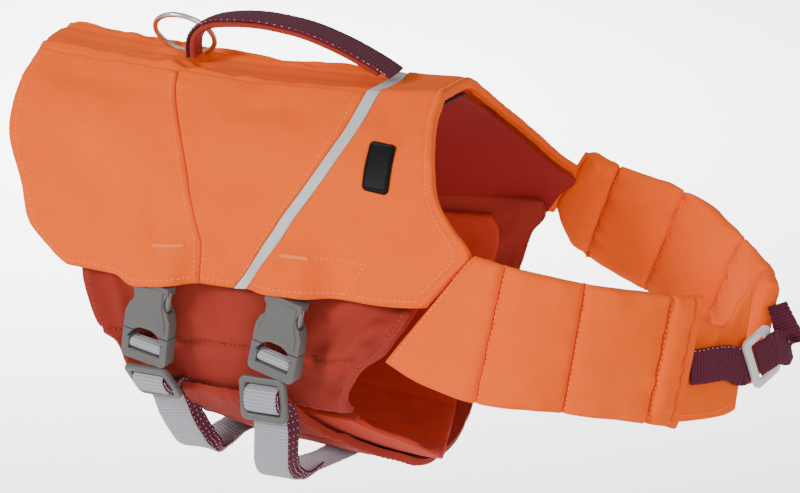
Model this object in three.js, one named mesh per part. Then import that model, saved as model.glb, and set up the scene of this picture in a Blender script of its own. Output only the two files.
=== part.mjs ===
import * as THREE from "three";

// Dog life jacket, in millimetres. +X to the dog's head, +Y to its left, +Z up.
// The origin is on the inner face of the jacket, under the middle of the handle.

const SEAM_GAP = 0.3;
const FOAM = 6;
const RIM = 2.6;
const PUFF = 1.2;
const LINING = 1.4;

const BAND_HALF = 26;
const MITRE = 14;
const SIDE_RADIUS = 184.5;
const SHOULDER_TILT = 0.558;
const BACK_TOP = 8;
const HEM_Z = -96;
const FLANK_FOOT = -184;
const EDGE_Z = -180;
const CHEST_HEART = new THREE.Vector3(190, 0, -115);

const STRIPE_HALF = 4.1;
const WEB_WIDE = 23;
const WEB_THICK = 1.8;

const rad = (degrees) => (degrees * Math.PI) / 180;
const mix = (a, b, t) => a + (b - a) * t;
const clamp = (value, low, high) => Math.min(Math.max(value, low), high);
const ease = (t) => t * t * (3 - 2 * t);

const cloth = {
  orange: new THREE.MeshStandardMaterial({ name: "orange_shell", color: 0xdd7c48, roughness: 0.85 }),
  rust: new THREE.MeshStandardMaterial({ name: "rust_shell", color: 0xac443a, roughness: 0.85 }),
  lining: new THREE.MeshStandardMaterial({ name: "red_lining", color: 0x9c3426, roughness: 0.9 }),
  stripe: new THREE.MeshStandardMaterial({ name: "reflective_tape", color: 0xbdbdbd, roughness: 0.5 }),
  burgundy: new THREE.MeshStandardMaterial({ name: "burgundy_webbing", color: 0x552d3c, roughness: 0.9 }),
  grey: new THREE.MeshStandardMaterial({ name: "grey_webbing", color: 0xc3c3c8, roughness: 0.9 }),
};
const hard = {
  plastic: new THREE.MeshStandardMaterial({ name: "grey_plastic", color: 0x7d7d79, roughness: 0.5 }),
  steel: new THREE.MeshStandardMaterial({
    name: "steel_wire", color: 0xb9b6b1, metalness: 1, roughness: 0.3,
  }),
  alloy: new THREE.MeshStandardMaterial({
    name: "cast_alloy", color: 0xcfcfcf, metalness: 1, roughness: 0.4,
  }),
  label: new THREE.MeshStandardMaterial({ name: "black_label", color: 0x161616, roughness: 0.6 }),
};

// Edges of the panels on the back: x at each girth s, counted from the middle of the back.
const REAR_EDGE = [
  { s: 0, x: -178 }, { s: 26, x: -175 }, { s: 53, x: -178 }, { s: 79, x: -177 }, { s: 96, x: -173 },
  { s: 124, x: -158 }, { s: 146, x: -150 }, { s: 160, x: -133 }, { s: 172, x: -113 },
];
const SIDE_SEAM = [
  { s: 26, x: -74 }, { s: 43, x: -70 }, { s: 79, x: -54 }, { s: 108, x: -42 }, { s: 129, x: -33 },
  { s: 142, x: -27 }, { s: 168, x: -25 },
];
const STRIPE_LINE = [
  { s: 0, x: 64 }, { s: 14, x: 63 }, { s: 58, x: 56 }, { s: 90, x: 44 }, { s: 118, x: 30 },
  { s: 145, x: 17 }, { s: 168, x: 2.6 },
];
const NECK_EDGE = [
  { s: 0, x: 108 }, { s: 29, x: 108.8 }, { s: 48, x: 110 }, { s: 80, x: 118 }, { s: 100, x: 125 },
  { s: 116, x: 137 }, { s: 138, x: 155 }, { s: 150, x: 145 }, { s: 169, x: 128.5 },
];
const LEFT_NECK_EDGE = [
  { s: 0, x: 108 }, { s: 29, x: 110 }, { s: 48, x: 114 }, { s: 80, x: 125 }, { s: 100, x: 136 },
  { s: 120, x: 150 }, { s: 135, x: 163 }, { s: 150, x: 151 }, { s: 169, x: 139 },
];
// Girth at which each side ends, along x.
const HEM_LINE = [
  { x: -113, s: 172 }, { x: -70, s: 172 }, { x: -40, s: 168.5 }, { x: 0, s: 168 }, { x: 20, s: 165 },
  { x: 43, s: 165 }, { x: 65, s: 167.6 }, { x: 100, s: 168.8 }, { x: 128, s: 168.8 },
];
// Half section of the belly cradle: across and drop as parts of its half width and depth.
const CRADLE = [
  { part: 0, across: 0, drop: 1 }, { part: 0.25, across: 0.25, drop: 0.995 },
  { part: 0.45, across: 0.45, drop: 0.93 }, { part: 0.6, across: 0.58, drop: 0.8 },
  { part: 0.75, across: 0.72, drop: 0.6 }, { part: 0.9, across: 0.87, drop: 0.3 },
  { part: 1, across: 1, drop: 0 },
];
const CRADLE_DEPTH = [
  { x: -60, depth: 36 }, { x: -45, depth: 40 }, { x: -25, depth: 45 }, { x: 0, depth: 50 },
  { x: 50, depth: 55 }, { x: 100, depth: 60 }, { x: 125, depth: 60 },
];
const LEFT_WALL = [{ z: -180, y: 101 }, { z: -160, y: 103 }, { z: -130, y: 103 }, { z: -96, y: 97.6 }];
// Half width of the right flank under the hem.
const RIGHT_WALL = [
  { z: -187, y: 87.5 }, { z: -178, y: 92.5 }, { z: -165, y: 98 }, { z: -148, y: 102 },
  { z: -120, y: 101.4 }, { z: -96, y: 95.6 },
];
const FLANK_REAR = [
  { z: -187, x: -78 }, { z: -174, x: -84 }, { z: -153, x: -89 }, { z: -149, x: -97 }, { z: -116, x: -111 },
  { z: -96, x: -114 },
];
const RIGHT_FLANK_FRONT = [
  { z: -187, x: 70 }, { z: -178, x: 68 }, { z: -166, x: 73 }, { z: -150, x: 83 }, { z: -138, x: 95 },
  { z: -133, x: 101 }, { z: -115, x: 113 }, { z: -96, x: 122 },
];
const LEFT_FLANK_FRONT = [
  { z: -180, x: 111 }, { z: -168, x: 114 }, { z: -139, x: 121 }, { z: -120, x: 127 }, { z: -108, x: 136 },
  { z: -96, x: 134 },
];
// Front edges of the belly panel and the belly pad: their x by cradle part.
const PANEL_FRONT = [
  { part: -1, x: 30 }, { part: -0.85, x: 42 }, { part: -0.66, x: 66 }, { part: -0.5, x: 92 },
  { part: -0.42, x: 100 }, { part: -0.2, x: 105 }, { part: 0, x: 107 }, { part: 0.7, x: 103 },
  { part: 1, x: 111 },
];
const PAD_FRONT = [
  { part: -0.88, x: 66 }, { part: -0.82, x: 82 }, { part: -0.74, x: 104 }, { part: -0.6, x: 116 },
  { part: -0.3, x: 112 }, { part: 0, x: 104 }, { part: 0.6, x: 92 }, { part: 1, x: 96 },
  { part: 1.3, x: 100 }, { part: 1.62, x: 104 }, { part: 1.8, x: 92 },
];
// Top and lower edge of each neck arm, on its outer face.
const RIGHT_ARM = [
  { along: 0, x: 158.2, y: -111, z: -61, lowX: 104.6, lowY: -122, lowZ: -134 },
  { along: 0.12, x: 168, y: -114, z: -62, lowX: 134, lowY: -127, lowZ: -144 },
  { along: 0.25, x: 180, y: -115, z: -64, lowX: 167, lowY: -130, lowZ: -149.5 },
  { along: 0.5, x: 228, y: -105, z: -73, lowX: 220, lowY: -120, lowZ: -152.5 },
  { along: 0.75, x: 275, y: -77, z: -84, lowX: 265, lowY: -93, lowZ: -163 },
  { along: 1, x: 291, y: -61, z: -88, lowX: 281, lowY: -77, lowZ: -171 },
];
const LEFT_ARM = [
  { along: 0, x: 172, y: 101, z: -57.5, lowX: 145, lowY: 117, lowZ: -110 },
  { along: 0.1, x: 182, y: 103, z: -61.5, lowX: 154, lowY: 118, lowZ: -128 },
  { along: 0.2, x: 194, y: 103, z: -66, lowX: 170, lowY: 115, lowZ: -138 },
  { along: 0.4, x: 242, y: 93, z: -75, lowX: 214, lowY: 103, lowZ: -151 },
  { along: 0.6, x: 287, y: 61, z: -91, lowX: 262, lowY: 74, lowZ: -162 },
  { along: 0.8, x: 311, y: 29, z: -97, lowX: 291, lowY: 36, lowZ: -170 },
  { along: 1, x: 320, y: 8, z: -99, lowX: 305, lowY: 14, lowZ: -172 },
];
const RIGHT_ARM_SEAMS = [0, 0.25, 0.5, 0.75, 0.91, 1];
const LEFT_ARM_SEAMS = [0, 0.2, 0.4, 0.6, 0.8, 1];
const FLAP = [
  { along: 0, x: 268.8, y: -67.2, z: -100, lowX: 262.8, lowY: -81.2, lowZ: -168 },
  { along: 0.35, x: 288.4, y: -49.8, z: -112, lowX: 281.6, lowY: -65.2, lowZ: -170 },
  { along: 0.7, x: 299, y: -32, z: -116, lowX: 296, lowY: -51, lowZ: -171 },
  { along: 0.85, x: 304, y: -18, z: -104, lowX: 303, lowY: -45, lowZ: -170 },
  { along: 1, x: 309, y: -8, z: -94, lowX: 308, lowY: -40, lowZ: -168 },
];

function read(table, by, of, at) {
  const rows = table[0][by] < table[table.length - 1][by] ? table : [...table].reverse();
  const last = rows.length - 1;
  const held = clamp(at, rows[0][by], rows[last][by]);
  let i = 0;
  while (i < last - 1 && rows[i + 1][by] < held) {
    i += 1;
  }
  const slope = (j) => {
    const before = rows[Math.max(j - 1, 0)];
    const after = rows[Math.min(j + 1, last)];
    return (after[of] - before[of]) / (after[by] - before[by]);
  };
  const span = rows[i + 1][by] - rows[i][by];
  const t = (held - rows[i][by]) / span;
  const t2 = t * t;
  const t3 = t2 * t;
  return (
    rows[i][of] * (2 * t3 - 3 * t2 + 1) +
    slope(i) * span * (t3 - 2 * t2 + t) +
    rows[i + 1][of] * (3 * t2 - 2 * t3) +
    slope(i + 1) * span * (t3 - t2)
  );
}

function closed(name, material, points, triangles) {
  let volume = 0;
  for (const [a, b, c] of triangles) {
    volume += points[a].dot(new THREE.Vector3().crossVectors(points[b], points[c]));
  }
  const index = volume > 0 ? triangles.flat() : triangles.flatMap(([a, b, c]) => [a, c, b]);
  const geometry = new THREE.BufferGeometry();
  const flat = points.flatMap((point) => [point.x, point.y, point.z]);
  geometry.setAttribute("position", new THREE.Float32BufferAttribute(flat, 3));
  geometry.setIndex(index);
  geometry.computeVertexNormals();
  const mesh = new THREE.Mesh(geometry, material.clone());
  mesh.name = name;
  return mesh;
}

// A padded sheet: two grids on either side of a surface, closed around the rim.
// The step is how far along u and v the slope is taken, so that a fold's two sides share one mitre.
function pad(name, material, { us, vs, at, heart, outer, inner, step = [0.004, 0.004] }) {
  const points = [];
  const middle = (point) => (heart ? heart : new THREE.Vector3(point.x, 0, -110));
  for (const v of vs) {
    for (const u of us) {
      const point = at(u, v);
      const alongU = at(u + step[0], v).sub(at(u - step[0], v));
      const alongV = at(u, v + step[1]).sub(at(u, v - step[1]));
      const normal = alongU.cross(alongV).normalize();
      if (normal.dot(point.clone().sub(middle(point))) < 0) {
        normal.negate();
      }
      points.push(point.clone().addScaledVector(normal, outer(u, v)));
      points.push(point.clone().addScaledVector(normal, -inner(u, v)));
    }
  }
  const triangles = [];
  const spot = (i, j, layer) => 2 * (j * us.length + i) + layer;
  const quad = (a, b, c, d) => triangles.push([a, b, c], [a, c, d]);
  for (let j = 0; j < vs.length - 1; j += 1) {
    for (let i = 0; i < us.length - 1; i += 1) {
      quad(spot(i, j, 0), spot(i + 1, j, 0), spot(i + 1, j + 1, 0), spot(i, j + 1, 0));
      quad(spot(i, j, 1), spot(i, j + 1, 1), spot(i + 1, j + 1, 1), spot(i + 1, j, 1));
    }
  }
  const lastU = us.length - 1;
  const lastV = vs.length - 1;
  for (let i = 0; i < lastU; i += 1) {
    quad(spot(i, 0, 0), spot(i, 0, 1), spot(i + 1, 0, 1), spot(i + 1, 0, 0));
    quad(spot(i, lastV, 0), spot(i + 1, lastV, 0), spot(i + 1, lastV, 1), spot(i, lastV, 1));
  }
  for (let j = 0; j < lastV; j += 1) {
    quad(spot(0, j, 0), spot(0, j + 1, 0), spot(0, j + 1, 1), spot(0, j, 1));
    quad(spot(lastU, j, 0), spot(lastU, j, 1), spot(lastU, j + 1, 1), spot(lastU, j + 1, 0));
  }
  return closed(name, material, points, triangles);
}

// How full a pad is at t along it: nothing on its rim, full from reach inward.
function full(t, reach) {
  const inside = clamp(Math.min(t, 1 - t) / reach, 0, 1);
  return Math.sqrt(1 - (1 - inside) ** 2);
}

const spread = (count) => Array.from({ length: count + 1 }, (_, i) => i / count);
const GIRTH_COLUMNS = [
  0, 0.03, 0.08, 0.16, 0.24, 0.32, 0.385, 0.422, 0.455, 0.5,
  0.545, 0.578, 0.615, 0.68, 0.76, 0.84, 0.92, 0.97, 1,
];
const RIMMED = [0, 0.05, 0.16, 0.37, 0.63, 0.84, 0.95, 1];

// The back line rises to the tail and, on the right only, to the neck.
function backHeight(x, s) {
  const left = clamp((s + BAND_HALF) / (2 * BAND_HALF), 0, 1);
  if (x < 10) {
    return BACK_TOP + mix(8, 11, left) * ((x - 10) / 185) ** 2;
  }
  return BACK_TOP + mix(6, 0, left) * ((x - 10) / 98) ** 2;
}

function flankWidth(x) {
  return 1 - 0.07 * clamp((60 - x) / 235, 0, 1) ** 2 + 0.146 * ease(clamp((x - 50) / 80, 0, 1));
}

// A point on the outside of the back: flat over the spine, then one even arc down each side.
function saddle(x, s) {
  const beyond = Math.abs(s) - BAND_HALF;
  if (beyond <= 0) {
    return new THREE.Vector3(x, s, backHeight(x, s));
  }
  const turn = SHOULDER_TILT + beyond / SIDE_RADIUS;
  const across = SIDE_RADIUS * (Math.sin(turn) - Math.sin(SHOULDER_TILT)) * flankWidth(x);
  const drop = SIDE_RADIUS * (Math.cos(SHOULDER_TILT) - Math.cos(turn));
  return new THREE.Vector3(x, Math.sign(s) * (BAND_HALF + across), backHeight(x, s) - drop);
}

// A point on the outside of the belly cradle; past part 1 it climbs the left side to the hem.
function cradle(x, part) {
  const size = Math.abs(part);
  const flare = 11 * ease(clamp((x - 40) / 90, 0, 1));
  if (size > 1) {
    const z = EDGE_Z + (size - 1) * 100;
    return new THREE.Vector3(x, read(LEFT_WALL, "z", "y", z) + flare * clamp(size - 1, 0, 1), z);
  }
  const depth = read(CRADLE_DEPTH, "x", "depth", x);
  const across = 101 * read(CRADLE, "part", "across", size);
  const drop = depth * read(CRADLE, "part", "drop", size);
  return new THREE.Vector3(x, Math.sign(part) * across, EDGE_Z - drop);
}

function rightFlank(x, z) {
  const tucked = 1 - 0.6 * ease(clamp((z + 116) / 16, 0, 1));
  const flare = 18 * ease(clamp((x - 45) / 75, 0, 1)) * clamp((z + 190) / 50, 0, 1) * tucked;
  return new THREE.Vector3(x, -read(RIGHT_WALL, "z", "y", z) - flare, z);
}

function sidePanel(name, side, rearLine, frontLine) {
  return pad(name, cloth.orange, {
    us: RIMMED,
    vs: [0, 0.087, 0.242, 0.431, 0.621, 0.81, 0.93, 1],
    at: (u, v) => {
      const s = mix(BAND_HALF + SEAM_GAP, 168, v);
      const x = mix(rearLine(s), frontLine(s), u);
      return saddle(x, side * mix(BAND_HALF + SEAM_GAP, read(HEM_LINE, "x", "s", x), v));
    },
    outer: (u, v) => mix(-1, PUFF, full(u, 0.12) * full(v, 0.12)),
    inner: (u, v) => mix(1 + RIM, FOAM, full(u, 0.12) * full(v, 0.1)),
    step: [0.01, MITRE / (168 - BAND_HALF)],
  });
}

function backPieces() {
  const rear = (s) => read(REAR_EDGE, "s", "x", s);
  const seam = (s) => read(SIDE_SEAM, "s", "x", s);
  const stripe = (s) => read(STRIPE_LINE, "s", "x", s);
  const neck = (s) => read(s < 0 ? NECK_EDGE : LEFT_NECK_EDGE, "s", "x", Math.abs(s));
  const pieces = [];
  for (const [side, label] of [[-1, "right"], [1, "left"]]) {
    pieces.push(sidePanel(`rear_panel_${label}`, side, rear, (s) => seam(s) - SEAM_GAP / 2));
    pieces.push(
      sidePanel(
        `mid_panel_${label}`,
        side,
        (s) => seam(s) + SEAM_GAP / 2,
        (s) => stripe(s) - STRIPE_HALF - SEAM_GAP,
      ),
    );
  }
  pieces.push(
    pad("spine_band", cloth.orange, {
      us: [0, 0.02, 0.1, 0.25, 0.42, 0.46, 0.7, 0.9, 0.98, 1],
      vs: [0, 0.03, 0.2, 0.5, 0.8, 0.97, 1],
      at: (u, v) => {
        const s = mix(-BAND_HALF, BAND_HALF, v) * (1 - SEAM_GAP / BAND_HALF);
        return saddle(mix(rear(Math.abs(s)), stripe(Math.abs(s)) - STRIPE_HALF - SEAM_GAP, u), s);
      },
      outer: (u, v) => mix(-1, u < 0.43 ? 0.4 : -1.6, full(v, 0.2)),
      inner: (u, v) => mix(1 + RIM, FOAM, full(u, 0.05) * full(v, 0.1)),
      step: [0.01, MITRE / (2 * BAND_HALF)],
    }),
    pad("front_yoke", cloth.orange, {
      us: GIRTH_COLUMNS,
      vs: RIMMED,
      at: (u, v) => {
        const s = mix(-168, 168, u);
        const x = mix(stripe(Math.abs(s)) + STRIPE_HALF + SEAM_GAP, neck(s), v);
        return saddle(x, mix(-1, 1, u) * read(HEM_LINE, "x", "s", x));
      },
      outer: (u, v) => mix(-1, PUFF, full(u, 0.05) * full(v, 0.15)),
      inner: (u, v) => mix(1 + RIM, FOAM, full(u, 0.05) * full(v, 0.15)),
      step: [MITRE / 336, 0.01],
    }),
    pad("reflective_stripe", cloth.stripe, {
      us: GIRTH_COLUMNS,
      vs: [0, 1],
      at: (u, v) => {
        const s = mix(-168, 168, u);
        const x = stripe(Math.abs(s)) + mix(-STRIPE_HALF, STRIPE_HALF, v);
        return saddle(x, mix(-1, 1, u) * read(HEM_LINE, "x", "s", x));
      },
      outer: () => 0.2,
      inner: () => 2.2,
      step: [MITRE / 336, 0.01],
    }),
    pad("body_lining", cloth.lining, {
      us: [0.042, ...GIRTH_COLUMNS.slice(2, -2), 0.958],
      vs: [0, 0.15, 0.3, 0.45, 0.6, 0.72, 0.83, 0.92, 1],
      at: (u, v) => {
        const s = mix(-168, 168, u);
        return saddle(mix(rear(Math.abs(s)) + 5, neck(s) - 4, v), s);
      },
      outer: () => -FOAM - 1.3,
      inner: () => FOAM + 1.3 + LINING,
      step: [MITRE / 336, 0.01],
    }),
  );
  return pieces;
}

function label() {
  const corner = (u, v) => ({ x: mix(72.6, 90.8, u) + 1.9 * v, s: -mix(66, 98.6, v) - 1.6 * u });
  return pad("shoulder_label", hard.label, {
    us: spread(2),
    vs: spread(3),
    at: (u, v) => saddle(corner(u, v).x, corner(u, v).s),
    outer: () => PUFF + 2,
    inner: () => -PUFF - 0.5,
  });
}

function girdlePieces() {
  const channel = (z) => clamp(Math.abs(z + 146) / 9, 0, 1);
  const flankRows = [0, 0.06, 0.2, 0.36, 0.46, 0.55, 0.64, 0.78, 0.93, 1];
  const rightFlankPiece = pad("flank_right", cloth.rust, {
    us: [0, 0.04, 0.15, 0.35, 0.55, 0.72, 0.84, 0.93, 0.98, 1],
    vs: flankRows,
    at: (u, v) => {
      const z = mix(HEM_Z, FLANK_FOOT, v);
      const x = mix(read(FLANK_REAR, "z", "x", z), read(RIGHT_FLANK_FRONT, "z", "x", z), u);
      return rightFlank(x, z);
    },
    outer: (u, v) => mix(-1.4, 0.8, full(u, 0.06) * channel(mix(HEM_Z, FLANK_FOOT, v))),
    inner: (u, v) => mix(3.6, 5.4, full(u, 0.06) * full(v, 0.1)),
  });
  const leftFlankPiece = pad("flank_left", cloth.rust, {
    us: [0, 0.04, 0.15, 0.35, 0.55, 0.75, 0.9, 0.97, 1],
    vs: flankRows,
    at: (u, v) => {
      const z = mix(HEM_Z, EDGE_Z + 1, v);
      const x = mix(read(FLANK_REAR, "z", "x", z), read(LEFT_FLANK_FRONT, "z", "x", z), u);
      return cradle(x, 1 + (z - EDGE_Z) / 100);
    },
    outer: (u, v) => mix(-1.4, 0.8, full(u, 0.06) * channel(mix(HEM_Z, EDGE_Z, v)) * full(v, 0.06)),
    inner: (u, v) => mix(3.6, 5.4, full(u, 0.06) * full(v, 0.1)),
    step: [0.01, 0.07],
  });
  const panelRear = (part) => mix(-50, -44, Math.abs(part));
  const bellyPanel = pad("belly_panel", cloth.rust, {
    us: [0, 0.04, 0.15, 0.35, 0.55, 0.75, 0.9, 0.97, 1],
    vs: [0, 0.02, 0.08, 0.15, 0.22, 0.3, 0.4, 0.5, 0.6, 0.7, 0.78, 0.85, 0.92, 0.98, 1],
    at: (u, v) => {
      const part = mix(-1, 0.99, v);
      return cradle(mix(panelRear(part), read(PANEL_FRONT, "part", "x", part), u), part);
    },
    heart: new THREE.Vector3(30, 0, -150),
    outer: (u, v) => mix(-1.4, 0.8, full(u, 0.06) * full(v, 0.04)),
    inner: (u, v) => mix(3.6, 5.4, full(u, 0.06) * full(v, 0.04)),
    step: [0.01, 0.03],
  });
  const bellyPad = pad("belly_pad", cloth.lining, {
    us: [0, 0.05, 0.2, 0.4, 0.6, 0.8, 0.95, 1],
    vs: [0, 0.03, 0.1, 0.17, 0.25, 0.33, 0.41, 0.5, 0.58, 0.66, 0.7, 0.78, 0.88, 0.97, 1],
    at: (u, v) => {
      const part = mix(-0.88, 1.72, v);
      return cradle(mix(-40, read(PAD_FRONT, "part", "x", part), u), part);
    },
    heart: new THREE.Vector3(30, 0, -130),
    outer: () => -6.7,
    inner: (u, v) => mix(9.2, 11.6, full(u, 0.06) * full(v, 0.05)),
  });
  return [rightFlankPiece, leftFlankPiece, bellyPanel, bellyPad];
}

function wall(table, u, v) {
  const top = new THREE.Vector3(...["x", "y", "z"].map((of) => read(table, "along", of, u)));
  const low = new THREE.Vector3(...["lowX", "lowY", "lowZ"].map((of) => read(table, "along", of, u)));
  return top.lerp(low, v);
}

// A quilted arm: full between its seams, thin on them and on its rim.
function quilted(name, table, seams, steps, thick) {
  const us = [];
  for (let i = 0; i < seams.length - 1; i += 1) {
    for (const step of steps) {
      us.push(mix(seams[i], seams[i + 1], step));
    }
  }
  us.push(1);
  const pillow = (u) => {
    let i = 0;
    while (i < seams.length - 2 && seams[i + 1] <= u) {
      i += 1;
    }
    return full((u - seams[i]) / (seams[i + 1] - seams[i]), 0.4);
  };
  return pad(name, cloth.orange, {
    us,
    vs: [0, 0.035, 0.14, 0.32, 0.5, 0.68, 0.86, 0.965, 1],
    at: (u, v) => wall(table, u, v),
    heart: CHEST_HEART,
    outer: (u, v) => mix(-4, mix(-0.5, 3, pillow(u)), full(v, 0.16)),
    inner: (u, v) => mix(5, mix(4, thick, pillow(u)), full(v, 0.16)),
  });
}

function armPieces() {
  const flap = pad("front_flap", cloth.orange, {
    us: [0, 0.05, 0.2, 0.4, 0.6, 0.75, 0.88, 0.97, 1],
    vs: [0, 0.05, 0.18, 0.4, 0.62, 0.84, 0.95, 1],
    at: (u, v) => wall(FLAP, u, v),
    heart: CHEST_HEART,
    outer: (u, v) => mix(-1.4, 0, full(u, 0.1) * full(v, 0.16)),
    inner: (u, v) => mix(2.6, 5, full(u, 0.1) * full(v, 0.16)),
  });
  return [
    quilted("neck_arm_right", RIGHT_ARM, RIGHT_ARM_SEAMS, [0, 0.1, 0.35, 0.65, 0.9], 9),
    quilted("neck_arm_left", LEFT_ARM, LEFT_ARM_SEAMS, [0, 0.1, 0.35, 0.65, 0.9], 9),
    flap,
  ];
}

// Webbing laid through a row of points, each with its side to side line.
function webbing(name, material, rows, { count, wide = () => WEB_WIDE, thick = WEB_THICK, lift = 0 }) {
  const facing = (t) => {
    const i = Math.min(Math.floor(t * (rows.length - 1)), rows.length - 2);
    return rows[i].side.clone().lerp(rows[i + 1].side, t * (rows.length - 1) - i);
  };
  const curve = new THREE.CatmullRomCurve3(rows.map((row) => new THREE.Vector3(row.x, row.y, row.z)));
  const points = [];
  for (let i = 0; i <= count; i += 1) {
    const t = i / count;
    const point = curve.getPoint(t);
    const tangent = curve.getTangent(t);
    const side = facing(t).addScaledVector(tangent, -facing(t).dot(tangent)).normalize();
    const normal = new THREE.Vector3().crossVectors(tangent, side).normalize();
    for (const [across, up] of [[-1, -1], [1, -1], [1, 1], [-1, 1]]) {
      const corner = point.clone().addScaledVector(side, (across * wide(t)) / 2);
      points.push(corner.addScaledVector(normal, lift + (up * thick) / 2));
    }
  }
  const triangles = [];
  for (let i = 0; i < count; i += 1) {
    for (let k = 0; k < 4; k += 1) {
      const a = 4 * i + k;
      const b = 4 * i + ((k + 1) % 4);
      triangles.push([a, b, b + 4], [a, b + 4, a + 4]);
    }
  }
  const end = 4 * count;
  triangles.push([0, 2, 1], [0, 3, 2], [end, end + 1, end + 2], [end, end + 2, end + 3]);
  return closed(name, material, points, triangles);
}

const sided = (rows, side) => rows.map((row) => ({ ...row, side }));
const HANDLE_LINE = [
  { x: -77, z: 12.4 }, { x: -77.4, z: 18 }, { x: -76.2, z: 27 }, { x: -70.5, z: 34.5 },
  { x: -60, z: 40 }, { x: -45, z: 43 }, { x: -26, z: 44 }, { x: -8, z: 42.6 }, { x: 8, z: 40 },
  { x: 22, z: 36 }, { x: 36, z: 31 }, { x: 50, z: 24.8 }, { x: 60.5, z: 19.6 }, { x: 68, z: 15.2 },
];

function handlePieces() {
  const line = HANDLE_LINE.map((row) => ({ x: row.x, y: 0, z: row.z, side: new THREE.Vector3(0, 1, 0) }));
  const wide = (t) => mix(15, 25, ease(clamp((t - 0.25) / 0.2, 0, 1)));
  const padWide = (t) => wide(t) - 1;
  return [
    webbing("handle_webbing", cloth.burgundy, line, { count: 26, wide, thick: 2, lift: -1 }),
    webbing("handle_pad", cloth.rust, line.slice(0, -1), {
      count: 24, wide: padWide, thick: 4, lift: -4.3,
    }),
  ];
}

const RING_AT = new THREE.Vector3(-82.2, 3.4, 25.4);
const RING_RADIUS = 20.4;
const RING_WIRE = 1.8;
const RING_LEAN = rad(51.6);

function leadRing() {
  const geometry = new THREE.TorusGeometry(RING_RADIUS, RING_WIRE, 8, 36);
  geometry.rotateX(Math.PI / 2 - RING_LEAN);
  geometry.translate(RING_AT.x, RING_AT.y, RING_AT.z);
  const mesh = new THREE.Mesh(geometry, hard.steel.clone());
  mesh.name = "lead_ring";
  return mesh;
}

// A frame for the hard parts on the right flank: x along the webbing's width, y up it, z outward.
// Lean swings its foot to the tail, pitch swings it in under the belly.
function flankFrame({ x, y, z, lean, pitch = 0 }) {
  return new THREE.Matrix4()
    .makeTranslation(x, y, z)
    .multiply(new THREE.Matrix4().makeRotationZ(-BUCKLE_YAW))
    .multiply(new THREE.Matrix4().makeRotationX(Math.PI / 2 + pitch))
    .multiply(new THREE.Matrix4().makeRotationZ(-lean));
}

function plate(name, material, outline, holes, thick, bevel, frame) {
  const shape = new THREE.Shape(outline.map(([x, y]) => new THREE.Vector2(x, y)));
  for (const hole of holes) {
    shape.holes.push(new THREE.Path(hole.map(([x, y]) => new THREE.Vector2(x, y))));
  }
  const geometry = new THREE.ExtrudeGeometry(shape, {
    depth: thick - 2 * bevel, bevelEnabled: true, bevelSize: bevel, bevelThickness: bevel,
    bevelOffset: -bevel, bevelSegments: 1, curveSegments: 4,
  });
  geometry.translate(0, 0, bevel - thick / 2);
  geometry.applyMatrix4(frame);
  const mesh = new THREE.Mesh(geometry, material.clone());
  mesh.name = name;
  return mesh;
}

// The corners of a box with cut corners, as an outline.
function boxOutline(wide, top, bottom, cut) {
  const half = wide / 2;
  return [
    [-half + cut, bottom], [half - cut, bottom], [half, bottom + cut], [half, top - cut],
    [half - cut, top], [-half + cut, top], [-half, top - cut], [-half, bottom + cut],
  ];
}

const BUCKLE_YAW = rad(8);
const BUCKLE_WIDE = 33.5;
const BUCKLE_THICK = 11;

function buckle(place, spot, sliderSpot) {
  const frame = flankFrame(spot);
  const half = BUCKLE_WIDE / 2;
  const female = [
    [-13.5, 0], [-13.5, -13], [-half, -22], [-half, -34.6], [half, -34.6], [half, -22],
    [13.2, -17], [13.2, -9], [13.5, 0],
  ].reverse();
  const male = boxOutline(BUCKLE_WIDE, -35, -54.6, 3);
  const window = [[-11.9, -40], [-11.9, -48.6], [11.9, -48.6], [11.9, -40], [6, -38.4], [-6, -38.4]];
  const wrapRows = [
    { x: 0, y: -41, z: -3 }, { x: 0, y: -41.6, z: 1.4 }, { x: 0, y: -44.2, z: 3 },
    { x: 0, y: -46.8, z: 1.4 }, { x: 0, y: -47.4, z: -3 },
  ];
  const wrap = webbing(`bar_wrap_${place}`, cloth.grey, sided(wrapRows, new THREE.Vector3(1, 0, 0)), {
    count: 8, thick: 1.2,
  });
  wrap.geometry.applyMatrix4(frame);
  return [
    plate(`buckle_female_${place}`, hard.plastic, female, [], BUCKLE_THICK, 1.4, frame),
    plate(`buckle_male_${place}`, hard.plastic, male, [window], BUCKLE_THICK - 1, 0.8, frame),
    wrap,
    plate(
      `slider_${place}`, hard.plastic, boxOutline(34, 15, -15, 3.5),
      [boxOutline(24.6, 10.4, -10.4, 0.5)], 4, 0.8, flankFrame(sliderSpot),
    ),
  ];
}

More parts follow.
